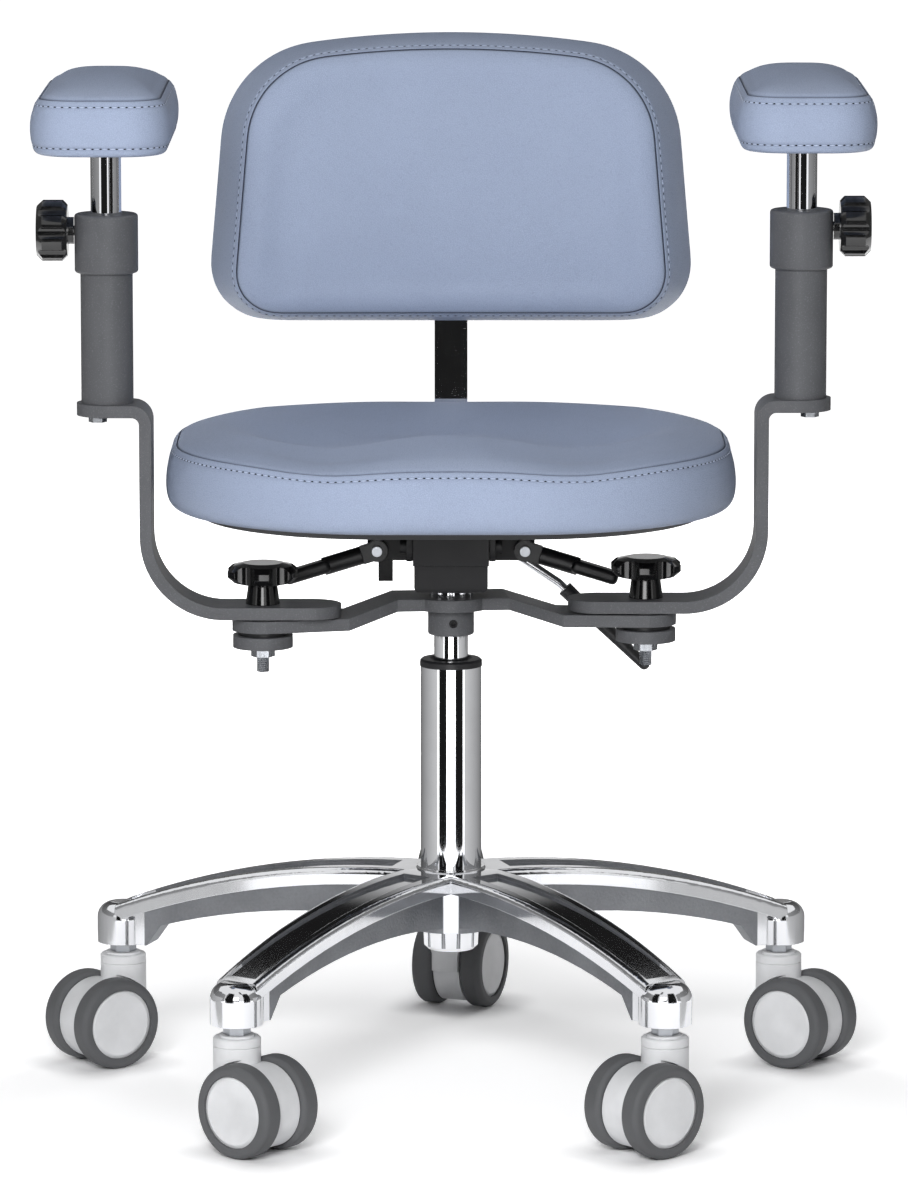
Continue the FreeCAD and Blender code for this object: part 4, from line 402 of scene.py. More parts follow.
def make_materials():
    finish = bpy.context.scene.chair_finishes
    make_leatherette()
    make_thread()
    for name, shade, pebbles, rough, spread, rounding, extra in (
            ("grey_coat", finish.coat, (0.0016, 0.00012), 0.5, 0.05, 0.0009, {"speck": 0.25, "gloss": 0.38}),
            ("black_plastic", finish.plastic, (0.0009, 0.00006), 0.42, 0.06, 0.0007, {}),
            ("knob_plastic", finish.knob, (0.0060, 0.00002), 0.13, 0.04, 0.0009, {"coat": 0.6}),
            ("black_steel", finish.steel, (0.0012, 0.00008), 0.46, 0.05, 0.0008, {"speck": 0.1, "gloss": 0.28}),
            ("shell", finish.shell, (0.0012, 0.00014), 0.5, 0.05, 0.0008, {}),
            ("caster_plastic", finish.caster, (0.0040, 0.00003), 0.34, 0.05, 0.0007, {}),
            ("caster_tread", finish.tread, (0.0014, 0.00007), 0.62, 0.06, 0.0005, {})):
        make_skin(name + "_finish", shade, pebbles, rough, spread, rounding, **extra)
    make_base_metal("polished_aluminium_finish", finish.aluminium, finish.casting)
    nut_height = 8 * MM
    make_threaded("threaded_steel", finish.zinc, pitch=1.5 * MM, top=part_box("swing_discs")[0].z - nut_height)
    make_metal("chrome_finish", finish.chrome, streak=4 * MM, rough=0.022, spread=0.02)
    make_metal("bright_steel_finish", finish.zinc, streak=2 * MM, rough=0.3, spread=0.1, rounding=0.4 * MM)


# Small helpers for objects

def activate(obj):
    bpy.ops.object.select_all(action="DESELECT")
    obj.select_set(True)
    bpy.context.view_layer.objects.active = obj


def apply_modifier(obj, kind, **settings):
    activate(obj)
    bpy.ops.object.modifier_add(type=kind)
    modifier = obj.modifiers[-1]
    for name, value in settings.items():
        setattr(modifier, name, value)
    bpy.ops.object.modifier_apply(modifier=modifier.name)


def put_on(obj, body, slot, *nodes):
    """Lets a finished piece ride on its body, in place of its nodes; slot is not used."""
    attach(obj, body)
    if nodes:
        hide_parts(*nodes)


def scatter(name, kinds):
    """One object of many copies: each kind is a small mesh, its material and the matrices of its copies."""
    bm = bmesh.new()
    mesh = bpy.data.meshes.new(name)
    for index, (template, material, places) in enumerate(kinds):
        mesh.materials.append(bpy.data.materials[material])
        for matrix in places:
            first = len(bm.faces)
            bm.from_mesh(template)
            bm.faces.ensure_lookup_table()
            fresh = bm.faces[first:]
            verts = list({vert for face in fresh for vert in face.verts})
            bmesh.ops.transform(bm, matrix=matrix, verts=verts)
            for face in fresh:
                face.material_index = index
                face.smooth = True
    bm.to_mesh(mesh)
    bm.free()
    obj = bpy.data.objects.new(name, mesh)
    bpy.context.scene.collection.objects.link(obj)
    return obj


# Upholstery; sizes are in millimetres

GRID = 18  # faces from the middle of a panel to its edge
ARC_STEPS = 24  # steps along the round of a corner
SWELL_FRAMES = 20
SUBDIVISIONS = 2
LEAST_CORNER = 2
ROUNDNESS = 2.6  # power of the rounded box that a seat or an armrest fills
# Half sizes and sink of each dark disc of painted shade in a needle hole
HOLE_SIZE, HOLE_SINK = (1.05, 0.75, 0.4), 0.1
SEAM_SINK = 1.9
HEM_SHADE = 0.3  # painted shade in the crease of the hem under a cushion
# Distance inside the seam, and amount of painted shade, of each ring at a panel's edge
PANEL_EDGE = ((2.6, 0.0), (1.2, 0.1), (0.5, 0.6))
# Share of the way from seam to stitch line, lift and amount of painted shade of each ring on the strip
STRIP_ROWS = ((0.07, 0.25, 0.7), (0.2, 0.85, 0.0), (0.5, 1.0, 0.0), (0.8, 0.6, 0.0),
              (0.93, 0.1, 0.15), (1.0, -0.45, 0.45), (1.08, 0.0, 0.1))


def inset_corners(corners, inset_u, inset_top, inset_foot):
    """Corners (u, v, radius), anticlockwise, after each side has moved inwards."""
    lines = []
    for (u0, v0, _), (u1, v1, _) in zip(corners, corners[1:] + corners[:1]):
        run = math.hypot(u1 - u0, v1 - v0)
        normal = ((v1 - v0) / run, (u0 - u1) / run)
        inset_v = inset_top if normal[1] > 0 else inset_foot
        inset = inset_u * abs(normal[0]) + inset_v * abs(normal[1])
        lines.append((normal, normal[0] * u0 + normal[1] * v0 - inset))
    moved = []
    for index, (_, _, radius) in enumerate(corners):
        (a, first), (b, second) = lines[index - 1], lines[index]
        cross = a[0] * b[1] - a[1] * b[0]
        shrink = (inset_u + inset_top + inset_foot) / 3
        moved.append(((first * b[1] - second * a[1]) / cross, (second * a[0] - first * b[0]) / cross,
                      max(radius - shrink, LEAST_CORNER)))
    return moved


def corner_round(before, corner, after):
    """Points along the round of one corner."""
    here, radius = Vector(corner[:2]), corner[2]
    back = (Vector(before[:2]) - here).normalized()
    ahead = (Vector(after[:2]) - here).normalized()
    half = back.angle(ahead) / 2
    centre = here + (back + ahead).normalized() * (radius / math.sin(half))
    start = here + back * (radius / math.tan(half)) - centre
    turn = math.pi - 2 * half
    return [centre + Matrix.Rotation(turn * step / ARC_STEPS, 2) @ start for step in range(ARC_STEPS + 1)]


def even_points(path, count):
    """count points at even steps along a path, without its last point."""
    runs = [0.0]
    for start, end in zip(path, path[1:]):
        runs.append(runs[-1] + (end - start).length)
    points, index = [], 0
    for step in range(count):
        target = runs[-1] * step / count
        while runs[index + 1] < target:
            index += 1
        share = (target - runs[index]) / max(runs[index + 1] - runs[index], 1e-9)
        points.append(path[index].lerp(path[index + 1], share))
    return points


def outline_ring(corners, anchors, insets):
    """8 * GRID points round a drawn-in outline, 2 * GRID from the middle of an anchor corner to the next."""
    moved = inset_corners(corners, *insets)
    count = len(moved)
    rounds = [corner_round(moved[index - 1], moved[index], moved[(index + 1) % count])
              for index in range(count)]
    ring = []
    for position, anchor in enumerate(anchors):
        goal = anchors[(position + 1) % len(anchors)]
        path = rounds[anchor][ARC_STEPS // 2:]
        index = (anchor + 1) % count
        while index != goal:
            path = path + rounds[index]
            index = (index + 1) % count
        ring += even_points(path + rounds[goal][:ARC_STEPS // 2 + 1], 2 * GRID)
    return ring


def grid_to_ring(i, j):
    """The square ring of a grid point and its place along the outermost ring."""
    ring = max(abs(i), abs(j))
    if ring == 0:
        return 0, 0.0
    if j == -ring and i < ring:
        side, step = 0, i + ring
    elif i == ring and j < ring:
        side, step = 1, j + ring
    elif j == ring and i > -ring:
        side, step = 2, ring - i
    else:
        side, step = 3, ring - j
    return ring, (side + step / (2 * ring)) * 2 * GRID


def panel_points(ring):
    """The (u, v, share) points of a panel inside a ring, on a grid that closes without a pole."""
    centre = sum(ring, Vector((0, 0))) / len(ring)
    points = []
    for j in range(-GRID, GRID + 1):
        for i in range(-GRID, GRID + 1):
            square, place = grid_to_ring(i, j)
            low = int(place) % len(ring)
            rim = ring[low].lerp(ring[(low + 1) % len(ring)], place - int(place))
            spot = centre.lerp(rim, square / GRID)
            points.append((spot.x, spot.y, square / GRID))
    return points


def grid_faces(first, flip):
    faces = []
    wide = 2 * GRID + 1
    for j in range(wide - 1):
        for i in range(wide - 1):
            corner = first + j * wide + i
            face = (corner, corner + 1, corner + wide + 1, corner + wide)
            faces.append(face[::-1] if flip else face)
    return faces


def grid_border(first):
    """Vertex numbers of a panel's border in the order of its ring."""
    wide = 2 * GRID + 1
    border = {}
    for j in range(-GRID, GRID + 1):
        for i in range(-GRID, GRID + 1):
            square, place = grid_to_ring(i, j)
            if square == GRID:
                border[round(place)] = first + (j + GRID) * wide + i + GRID
    return [border[place] for place in range(8 * GRID)]


def sew_cushion(name, corners, anchors, rings, panel_height, to_world):
    """A closed cushion: a top panel inside the first ring, rings down its sides, and a flat underside.

    A ring is (insets, level, crease shade, sewn), where crease shade is the amount of painted shade in a crease; a
    level of None lies on the panel.
    panel_height gives the panel's level at (u, v, share, depth), where depth is how far the point lies inside the
    seam.
    """
    seam_inset = next(ring[0][0] for ring in rings if ring[1] is not None)
    loops = [outline_ring(corners, anchors, ring[0]) for ring in rings]
    spots, crease_shade, sewn = [], [], []

    def add(u, v, level, mark, held):
        spots.append((u, v, level))
        crease_shade.append(mark)
        sewn.append(held)

    reach = min(max(abs(corner[axis]) for corner in corners) for axis in (0, 1))
    for u, v, share in panel_points(loops[0]):
        depth = rings[0][0][0] - seam_inset + (1 - share) * reach
        add(u, v, panel_height(u, v, share, depth), 0.0, share == 1)
    for (insets, level, mark, held), loop in list(zip(rings, loops))[1:]:
        for spot in loop:
            if level is None:
                height = panel_height(spot.x, spot.y, 1.0, insets[0] - seam_inset)
            else:
                height = level(spot.x, spot.y) if callable(level) else level
            add(spot.x, spot.y, height, mark, held)
    faces = grid_faces(0, False)
    wide = 2 * GRID + 1
    rim = grid_border(0)
    start = wide * wide
    size = 8 * GRID
    for _ in rings[1:]:
        below = list(range(start, start + size))
        faces += [(rim[k], below[k], below[(k + 1) % size], rim[(k + 1) % size]) for k in range(size)]
        rim = below
        start += size
    foot = rings[-1][1]
    for u, v, share in panel_points(loops[-1]):
        add(u, v, foot(u, v) if callable(foot) else foot, 0.0, True)
    base_rim = grid_border(start)
    faces += grid_faces(start, True)
    twin = dict(zip(base_rim, rim))
    faces = [tuple(twin.get(vert, vert) for vert in face) for face in faces]
    mesh = bpy.data.meshes.new(name)
    mesh.from_pydata([to_world @ Vector(spot) for spot in spots], [], faces)
    # Amount of painted shade in seams and creases, for each point
    marks = mesh.attributes.new("crease_shade", "FLOAT", "POINT")
    marks.data.foreach_set("value", crease_shade)
    held_marks = mesh.attributes.new("sewn", "FLOAT", "POINT")
    held_marks.data.foreach_set("value", [float(held) for held in sewn])
    obj = bpy.data.objects.new(name, mesh)
    bpy.context.scene.collection.objects.link(obj)
    bm = bmesh.new()
    bm.from_mesh(mesh)
    bmesh.ops.delete(bm, geom=[vert for vert in bm.verts if not vert.link_faces], context="VERTS")
    bm.to_mesh(mesh)
    bm.free()
    mesh.materials.append(bpy.data.materials["leatherette"])
    return obj


def swell(obj, most):
    """Foam pushes the cover out between its seams: a short cloth simulation, held where it is sewn."""
    looks, scene = bpy.context.scene.chair_upholstery, bpy.context.scene
    activate(obj)
    held = obj.vertex_groups.new(name="sewn")
    marks = obj.data.attributes["sewn"].data
    held.add([index for index, mark in enumerate(marks) if mark.value > 0.5], 1.0, "REPLACE")
    before = [vert.co.copy() for vert in obj.data.vertices]
    bpy.ops.object.modifier_add(type="CLOTH")
    cloth = obj.modifiers[-1]
    cloth.settings.vertex_group_mass = held.name
    cloth.settings.use_pressure = True
    cloth.settings.uniform_pressure_force = looks.pressure
    cloth.settings.effector_weights.gravity = 0.0
    cloth.point_cache.frame_start = 1
    cloth.point_cache.frame_end = SWELL_FRAMES
    for step in range(1, SWELL_FRAMES + 1):
        scene.frame_set(step)
    bpy.ops.object.modifier_apply(modifier=cloth.name)
    scene.frame_set(1)
    for vert, rest in zip(obj.data.vertices, before):
        move = vert.co - rest
        if move.length > 1e-9:
            vert.co = rest + move * (most * math.tanh(move.length / most) / move.length)
    obj.vertex_groups.clear()


def smooth_cushion(obj):
    obj.data.attributes.remove(obj.data.attributes["sewn"])
    apply_modifier(obj, "SUBSURF", levels=SUBDIVISIONS, render_levels=SUBDIVISIONS)
    bpy.ops.object.shade_smooth()


def stitch(obj, name, paths):
    """A row of stitches along each closed path on a cushion: threads, and dark discs of painted shade for the
    needle holes between them.
    """
    looks = bpy.context.scene.chair_upholstery
    bpy.ops.object.select_all(action="DESELECT")
    bpy.ops.mesh.primitive_uv_sphere_add(segments=8, ring_count=6, radius=1.0)
    bead = bpy.context.object
    threads, holes = [], []
    for path in paths:
        path = path + path[:1]
        run = sum((end - start).length for start, end in zip(path, path[1:]))
        count = round(run / looks.stitch_pitch)
        dots = even_points(path, 2 * count)
        for index, dot in enumerate(dots):
            along = (dots[(index + 1) % len(dots)] - dots[index - 1]).normalized()
            _, spot, normal, _ = obj.closest_point_on_mesh(dot)
            across = normal.cross(along).normalized()
            turn = Matrix((along, across, along.cross(across))).transposed().to_4x4()
            if index % 2:
                size = Matrix.Diagonal((*(half * MM for half in HOLE_SIZE), 1))
                holes.append(Matrix.Translation(spot - normal * HOLE_SINK * MM) @ turn @ size)
            else:
                size = Matrix.Diagonal((looks.stitch_length / 2, looks.thread_radius, looks.thread_radius, 1))
                threads.append(Matrix.Translation(spot) @ turn @ size)
    row = scatter(name, [(bead.data, "thread", threads), (bead.data, "needle_hole", holes)])
    bpy.data.objects.remove(bead)
    return row


def even(inset):
    return inset, inset, inset


def pucker(obj, amount, wave, weight):
    """Small puckers of the cover, where weight, from 0 to 1, lets them."""
    moves = [vert.normal * (amount * noise.noise(vert.co / wave) * weight(vert.co))
             for vert in obj.data.vertices]
    for vert, move in zip(obj.data.vertices, moves):
        vert.co += move


def rounded(across, along):
    """How far out a point lies in a rounded box: 1 on its outline."""
    return (abs(across) ** ROUNDNESS + abs(along) ** ROUNDNESS) ** (1 / ROUNDNESS)


def round_wall(low, high, level, spread):
    """A weight on the walls of a cushion in a box, which fades out away from a level and inside the walls."""
    middle, half = (low + high) / 2, (high - low) / 2

    def weight(place):
        out = rounded((place.x - middle.x) / half.x, (place.y - middle.y) / half.y)
        return math.exp(-((place.z - low.z - level) / spread) ** 2) * smooth_step(0.86, 0.95, out)
    return weight


def seam_rings(seam, strip):
    """Rings from the edge of a panel over its seam and the topstitched strip beside it.

    seam and strip are (insets, level) of the seam's groove and of the stitch line.
    """
    (seam_insets, seam_level), (strip_insets, strip_level) = seam, strip

    def between(share, lift):
        insets = tuple(a + (b - a) * share for a, b in zip(seam_insets, strip_insets))

        def level(u, v):
            return seam_level(u, v) + (strip_level(u, v) - seam_level(u, v)) * share + lift
        return insets, level

    def sunk(u, v):
        return seam_level(u, v) - SEAM_SINK

    rings = [(tuple(inset + extra for inset in seam_insets), None, mark, True) for extra, mark in PANEL_EDGE]
    rings.append((seam_insets, sunk, 1.0, True))
    for share, lift, mark in STRIP_ROWS:
        insets, level = between(share, lift)
        rings.append((insets, level, mark, True))
    return rings


def flat(level):
    return lambda u, v: level


def smooth_step(start, end, value):
    """0 at start and 1 at end, with an even passage between them."""
    share = min(max((value - start) / (end - start), 0), 1)
    return share * share * (3 - 2 * share)


def dome(x, y, centre, spread):
    """A smooth mound of height 1 over centre, which fades out over the two spreads."""
    return math.exp(-((x - centre[0]) / spread[0]) ** 2 - ((y - centre[1]) / spread[1]) ** 2)


def ring_path(corners, anchors, insets, level, to_world):
    return [to_world @ Vector((spot.x, spot.y, level(spot.x, spot.y)))
            for spot in outline_ring(corners, anchors, insets)]


def upholster(piece, body, node, outline, rings, panel, to_world, most, stitch_lines, puckers=None):
    """Sews, swells and stitches the cushion that takes the place of a node.

    outline is its corners and anchors, most the limit of its swell, stitch_lines are (insets, level), and puckers
    are their amount, wave and weight.
    """
    cushion = sew_cushion(piece + "_upholstery", *outline, rings, panel, to_world)
    swell(cushion, most)
    smooth_cushion(cushion)
    if puckers:
        pucker(cushion, *puckers)
    put_on(cushion, body, "upholstery", node)
    paths = [ring_path(*outline, *line, to_world) for line in stitch_lines]
    put_on(stitch(cushion, piece + "_stitches", paths), body, "upholstery")


SEAT_SEAM, SEAT_SEAM_HEIGHT = 9, 51
SEAT_STITCH, SEAT_STITCH_DROP = 4.8, 4.2
SEAT_PANEL_EDGE = (15, 12.4)
# The seam dips in front of each thigh: depth, place across and spreads
SEAT_DIP, SEAT_DIP_PLACE, SEAT_DIP_SPREAD = 4.2, 105, (48, 70)
SEAT_ROLL, SEAT_ROLL_RUN = 6.0, 7.0
SEAT_CROWN, SEAT_CROWN_POWER = 7.5, 0.8
# Height, place and spreads of the pommel between the thighs and of the hollow under each
POMMEL, POMMEL_PLACE, POMMEL_SPREAD = 5.0, (0, -115), (58, 70)
THIGH, THIGH_PLACE, THIGH_SPREAD = 8.0, (108, -130), (52, 95)
THIGH_EDGE = 40
# The bowl: depth, its middle and half sizes, and where its slope goes from short in front to long behind
BOWL, BOWL_MIDDLE, BOWL_HALF_WIDTH, BOWL_FRONT, BOWL_REAR = 21.0, 30, 182, 132, 170
BOWL_RIM, BOWL_SLOPE, BOWL_REAR_SLOPE, BOWL_TURN, BOWL_POWER = 1.02, 0.42, 0.5, (-20, 110), 1.3
# Inset and level of each ring down the wall
SEAT_WALL = ((3.2, 42.0), (1.6, 36), (0.6, 29), (0.0, 21), (0.4, 13), (1.8, 7.5), (4.4, 3.4), (8.5, 0.9))
SEAT_HEM = (13, 17)
SEAT_PUCKER, SEAT_PUCKER_WAVE, SEAT_PUCKER_LEVEL, SEAT_PUCKER_SPREAD = 0.5, 9, 43, 6


class CHAIR_OT_seat(Operator):
    """Sews the contoured seat cushion"""
    bl_idname = "chair.seat"
    bl_label = "Seat Cushion"

    def execute(self, context):
        looks = context.scene.chair_upholstery
        low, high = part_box("seat_cushion")
        half_u, half_v = high.x / MM, high.y / MM
        front, rear = looks.seat_front_round / MM, looks.seat_rear_round / MM
        corners = [(-half_u, -half_v, front), (half_u, -half_v, front),
                   (half_u, half_v, rear), (-half_u, half_v, rear)]

        def seam_level(u, v):
            return SEAT_SEAM_HEIGHT - SEAT_DIP * dome(abs(u), v, (SEAT_DIP_PLACE, -half_v), SEAT_DIP_SPREAD)

        def strip_level(u, v):
            return seam_level(u, v) - SEAT_STITCH_DROP

        def panel(u, v, share, depth):
            roll = SEAT_ROLL * (1 - math.exp(-max(depth, 0) / SEAT_ROLL_RUN))
            crown = SEAT_CROWN * (1 - share ** 2) ** SEAT_CROWN_POWER
            pommel = POMMEL * dome(u, v, POMMEL_PLACE, POMMEL_SPREAD)
            thighs = THIGH * dome(abs(u), v, THIGH_PLACE, THIGH_SPREAD)
            reach = BOWL_FRONT if v < BOWL_MIDDLE else BOWL_REAR
            rim = rounded(u / BOWL_HALF_WIDTH, (v - BOWL_MIDDLE) / reach)
            slope = BOWL_SLOPE + BOWL_REAR_SLOPE * smooth_step(*BOWL_TURN, v)
            inward = min(max((BOWL_RIM - rim) / slope, 0), 1)
            bowl = BOWL * (1 - (1 - inward ** BOWL_POWER) ** 2)
            return seam_level(u, v) + roll + crown + (pommel - thighs) * min(1, depth / THIGH_EDGE) - bowl

        rings = [(even(inset), None, 0.0, False) for inset in SEAT_PANEL_EDGE]
        rings += seam_rings((even(SEAT_SEAM), seam_level), (even(SEAT_STITCH), strip_level))
        rings += [(even(inset), flat(level), 0.0, False) for inset, level in SEAT_WALL]
        rings += [(even(inset), flat(0), HEM_SHADE, True) for inset in SEAT_HEM]
        to_world = Matrix.Translation((0, 0, low.z)) @ Matrix.Scale(MM, 4)
        walls = round_wall(low, high, SEAT_PUCKER_LEVEL * MM, SEAT_PUCKER_SPREAD * MM)
        upholster("seat", "seat", "seat_cushion", (corners, range(4)), rings, panel, to_world,
                  looks.seat_swell, [(even(SEAT_STITCH), strip_level)],
                  (SEAT_PUCKER * MM, SEAT_PUCKER_WAVE * MM, walls))
        return {"FINISHED"}


BACK_PLACE = (0, 0.248, 0.733)  # middle of the cushion's rear face, in metres
BACK_FOOT, BACK_HALF = 209, 123  # half the width at the foot and half the height
SHOULDER_DROP, BACK_RIDGE = 19, 5  # shoulders below, and ridge above, the half height
# Insets at the sides, the top and the foot of the seam and of the stitch line, and their levels
BACK_SEAM, BACK_SEAM_LEVEL = (24, 13, 6), 56.5
BACK_STITCH, BACK_STITCH_LEVEL = (20.5, 10.2, 3.6), 52.0
BACK_PANEL_EDGE = (7, 4)
BACK_BARREL = 4.0  # how far the front falls back towards the top and the foot
BACK_TUCK, BACK_TUCK_RUN = 4.0, (-0.35, -1.0)  # further fall at the foot, and the heights that it lies between
BACK_ROLL, BACK_ROLL_RUN = 4.5, 5.0
BACK_BORDER, BACK_BORDER_DEPTH, BACK_BORDER_SPREAD = 3.8, 13, 10
BACK_CROWN = 1.0
# Insets, level and share of the front's hollow of each ring down the wall
BACK_WALL = ((18.5, 8.9, 2.9, 49.5, 0.95), (15.6, 7.3, 2.1, 43, 0.8), (12.3, 5.6, 1.5, 36, 0.65),
             (9.0, 4.0, 1.0, 29, 0.5), (6.0, 2.6, 0.6, 22, 0.3), (3.3, 1.4, 0.3, 15, 0.15), (1.2, 0.5, 0.1, 9, 0),
             (0.5, 0.4, 0.4, 5, 0), (2.2, 2.0, 2.0, 2.2, 0), (5.2, 4.6, 4.6, 0.6, 0))
BACK_HEM = ((8, 7, 7), (12, 11, 11))


class CHAIR_OT_back(Operator):
    """Sews the curved back cushion"""
    bl_idname = "chair.back"
    bl_label = "Back Cushion"

    def execute(self, context):
        looks = context.scene.chair_upholstery
        shoulder, shoulder_height = looks.back_shoulder / 2 / MM, BACK_HALF - SHOULDER_DROP
        low_round, top_round = looks.back_foot_round / MM, looks.back_top_round / MM
        corners = [(-BACK_FOOT, -BACK_HALF, low_round), (BACK_FOOT, -BACK_HALF, low_round),
                   (shoulder, shoulder_height, top_round),
                   (0, BACK_HALF + BACK_RIDGE, looks.back_arch / MM),
                   (-shoulder, shoulder_height, top_round)]
        anchors = (0, 1, 2, 4)
        bow = looks.back_hollow / MM

        def hollow(u, v):
            height = v / BACK_HALF
            return u ** 2 / (2 * bow) - BACK_BARREL * height ** 2 - BACK_TUCK * smooth_step(*BACK_TUCK_RUN, height)

        def seam_level(u, v):
            return BACK_SEAM_LEVEL + hollow(u, v)

        def strip_level(u, v):
            return BACK_STITCH_LEVEL + hollow(u, v)

        def panel(u, v, share, depth):
            roll = BACK_ROLL * (1 - math.exp(-max(depth, 0) / BACK_ROLL_RUN))
            border = BACK_BORDER * math.exp(-((depth - BACK_BORDER_DEPTH) / BACK_BORDER_SPREAD) ** 2)
            return seam_level(u, v) + roll + border + BACK_CROWN * (1 - share ** 2)

        def side(level, share):
            return lambda u, v: level + hollow(u, v) * share

        rings = [(tuple(inset + extra for inset in BACK_SEAM), None, 0.0, False) for extra in BACK_PANEL_EDGE]
        rings += seam_rings((BACK_SEAM, seam_level), (BACK_STITCH, strip_level))
        rings += [(tuple(insets), side(level, share), 0.0, False) for *insets, level, share in BACK_WALL]
        rings += [(insets, flat(0), HEM_SHADE, True) for insets in BACK_HEM]
        axes = Matrix(((1, 0, 0, 0), (0, 0, -1, 0), (0, 1, 0, 0), (0, 0, 0, 1)))
        lean = Matrix.Rotation(-looks.back_recline, 4, "X")
        to_world = Matrix.Translation(BACK_PLACE) @ lean @ axes @ Matrix.Scale(MM, 4)
        upholster("back", "back", "back_cushion", (corners, anchors), rings, panel, to_world,
                  looks.back_swell, [(BACK_STITCH, strip_level)])
        return {"FINISHED"}


PAD_SEAM, PAD_SEAM_LEVEL = 8.2, 44.5
PAD_STITCH, PAD_STITCH_LEVEL = 4.2, 40.0
PAD_HEM_STITCH, PAD_HEM_LEVEL = 2.5, 7.2
PAD_PANEL_EDGE = (15, 12)
PAD_ROLL, PAD_ROLL_RUN = 6.0, 5.0
PAD_CROWN, PAD_CROWN_POWER = 10.5, 2.2
# Ripples of the panel: height, waves per millimetre across and along, and the depth that they start over
PAD_RIPPLE, PAD_RIPPLE_WAVES, PAD_RIPPLE_START = 0.5, (0.010, 0.060), 6
# Inset and level of each ring down the wall, and with its amount of painted shade of each round the hem
PAD_WALL = ((3.2, 37.5), (1.6, 33), (0.5, 28), (0.0, 22), (0.3, 15), (1.0, 10.5))
PAD_HEM = ((1.8, 8.2, 0.1), (2.5, 7.2, 0.5), (2.0, 6.2, 0.1), (2.9, 3.6, 0.0), (4.6, 1.3, 0.0), (7.5, 0.1, 0.2),
           (11, 0, HEM_SHADE))
PAD_PUCKER, PAD_PUCKER_WAVE, PAD_PUCKER_LEVEL, PAD_PUCKER_SPREAD = 0.4, 7, 37, 5


class CHAIR_OT_arm_pads(Operator):
    """Sews the two armrest pads"""
    bl_idname = "chair.arm_pads"
    bl_label = "Armrest Pads"

    def execute(self, context):
        for side in SIDES:
            self.sew_pad(context.scene.chair_upholstery, side)
        return {"FINISHED"}

    def sew_pad(self, looks, side):
        node = side + "_arm_pad"
        low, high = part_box(node)
        half_u, half_v = (high.x - low.x) / 2 / MM, (high.y - low.y) / 2 / MM
        radius = looks.pad_round / MM
        corners = [(-half_u, -half_v, radius), (half_u, -half_v, radius),
                   (half_u, half_v, radius), (-half_u, half_v, radius)]
        strip_level = flat(PAD_STITCH_LEVEL)

        def panel(u, v, share, depth):
            inside = max(depth, 0)
            roll = PAD_ROLL * (1 - math.exp(-inside / PAD_ROLL_RUN))
            spot = Vector((u * PAD_RIPPLE_WAVES[0], v * PAD_RIPPLE_WAVES[1], half_u))
            ripple = PAD_RIPPLE * noise.noise(spot) * min(1, inside / PAD_RIPPLE_START)
            return PAD_SEAM_LEVEL + roll + PAD_CROWN * (1 - share ** PAD_CROWN_POWER) + ripple

        rings = [(even(inset), None, 0.0, False) for inset in PAD_PANEL_EDGE]
        rings += seam_rings((even(PAD_SEAM), flat(PAD_SEAM_LEVEL)), (even(PAD_STITCH), strip_level))
        rings += [(even(inset), flat(level), 0.0, False) for inset, level in PAD_WALL]
        rings += [(even(inset), flat(level), mark, True) for inset, level, mark in PAD_HEM]
        middle = (low + high) / 2
        to_world = Matrix.Translation((middle.x, middle.y, low.z)) @ Matrix.Scale(MM, 4)
        walls = round_wall(low, high, PAD_PUCKER_LEVEL * MM, PAD_PUCKER_SPREAD * MM)
        upholster(side + "_pad", node, node, (corners, range(4)), rings, panel, to_world, looks.pad_swell,
                  [(even(PAD_STITCH), strip_level), (even(PAD_HEM_STITCH), flat(PAD_HEM_LEVEL))],
                  (PAD_PUCKER * MM, PAD_PUCKER_WAVE * MM, walls))


class CHAIR_OT_finishes(Operator):
    """Makes the finishes and gives each node of the frame its own"""
    bl_idname = "chair.finishes"
    bl_label = "Finishes"

    def execute(self, context):
        make_materials()
        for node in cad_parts.values():
            for holder in node.material_slots:
                finish = bpy.data.materials.get(holder.material.name + "_finish")
                if finish:
                    holder.material = finish
        for name, finish in (("swing_studs", "threaded_steel"), ("tilt_axles", "black_steel_finish"),
                             ("collar_set_screw", "black_steel_finish")):
            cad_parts[name].material_slots[0].material = bpy.data.materials[finish]
        return {"FINISHED"}


# Stage; places and sizes are in metres

DARK = 0.012  # tone of a black card
LAMP_AIM = Vector((0, 0, 0.45))
FLOOR_SIZE = 90
GLOW_NEAR, GLOW_FAR = 0.32, 1.6  # distances that the floor's glow grows between
CONTACT_REACH, CONTACT_POWER = 0.035, 3.0  # painted contact shadow where something stands on the floor
CLIP_END = 200


def constant_tone(tone):
    return lambda tree, spot: tone


def tone_by_height(low, high, low_tone, high_tone):
    """The tone of a card that changes from one level to another."""
    def tone(tree, spot):
        level = add_node(tree, "SeparateXYZ", {0: spot}).outputs[2]
        return remap(tree, level, low, high, low_tone, high_tone)
    return tone


def tone_by_turn(start, end, start_tone, end_tone):
    """The tone of a card that changes with the turn, in degrees, away from the camera's side."""
    def tone(tree, spot):
        x, y, _ = add_node(tree, "SeparateXYZ", {0: spot}).outputs
        ahead = math_node(tree, "MULTIPLY", y, -1.0)
        turn = math_node(tree, "ARCTAN2", math_node(tree, "ABSOLUTE", x), ahead)
        return remap(tree, turn, math.radians(start), math.radians(end), start_tone, end_tone)
    return tone


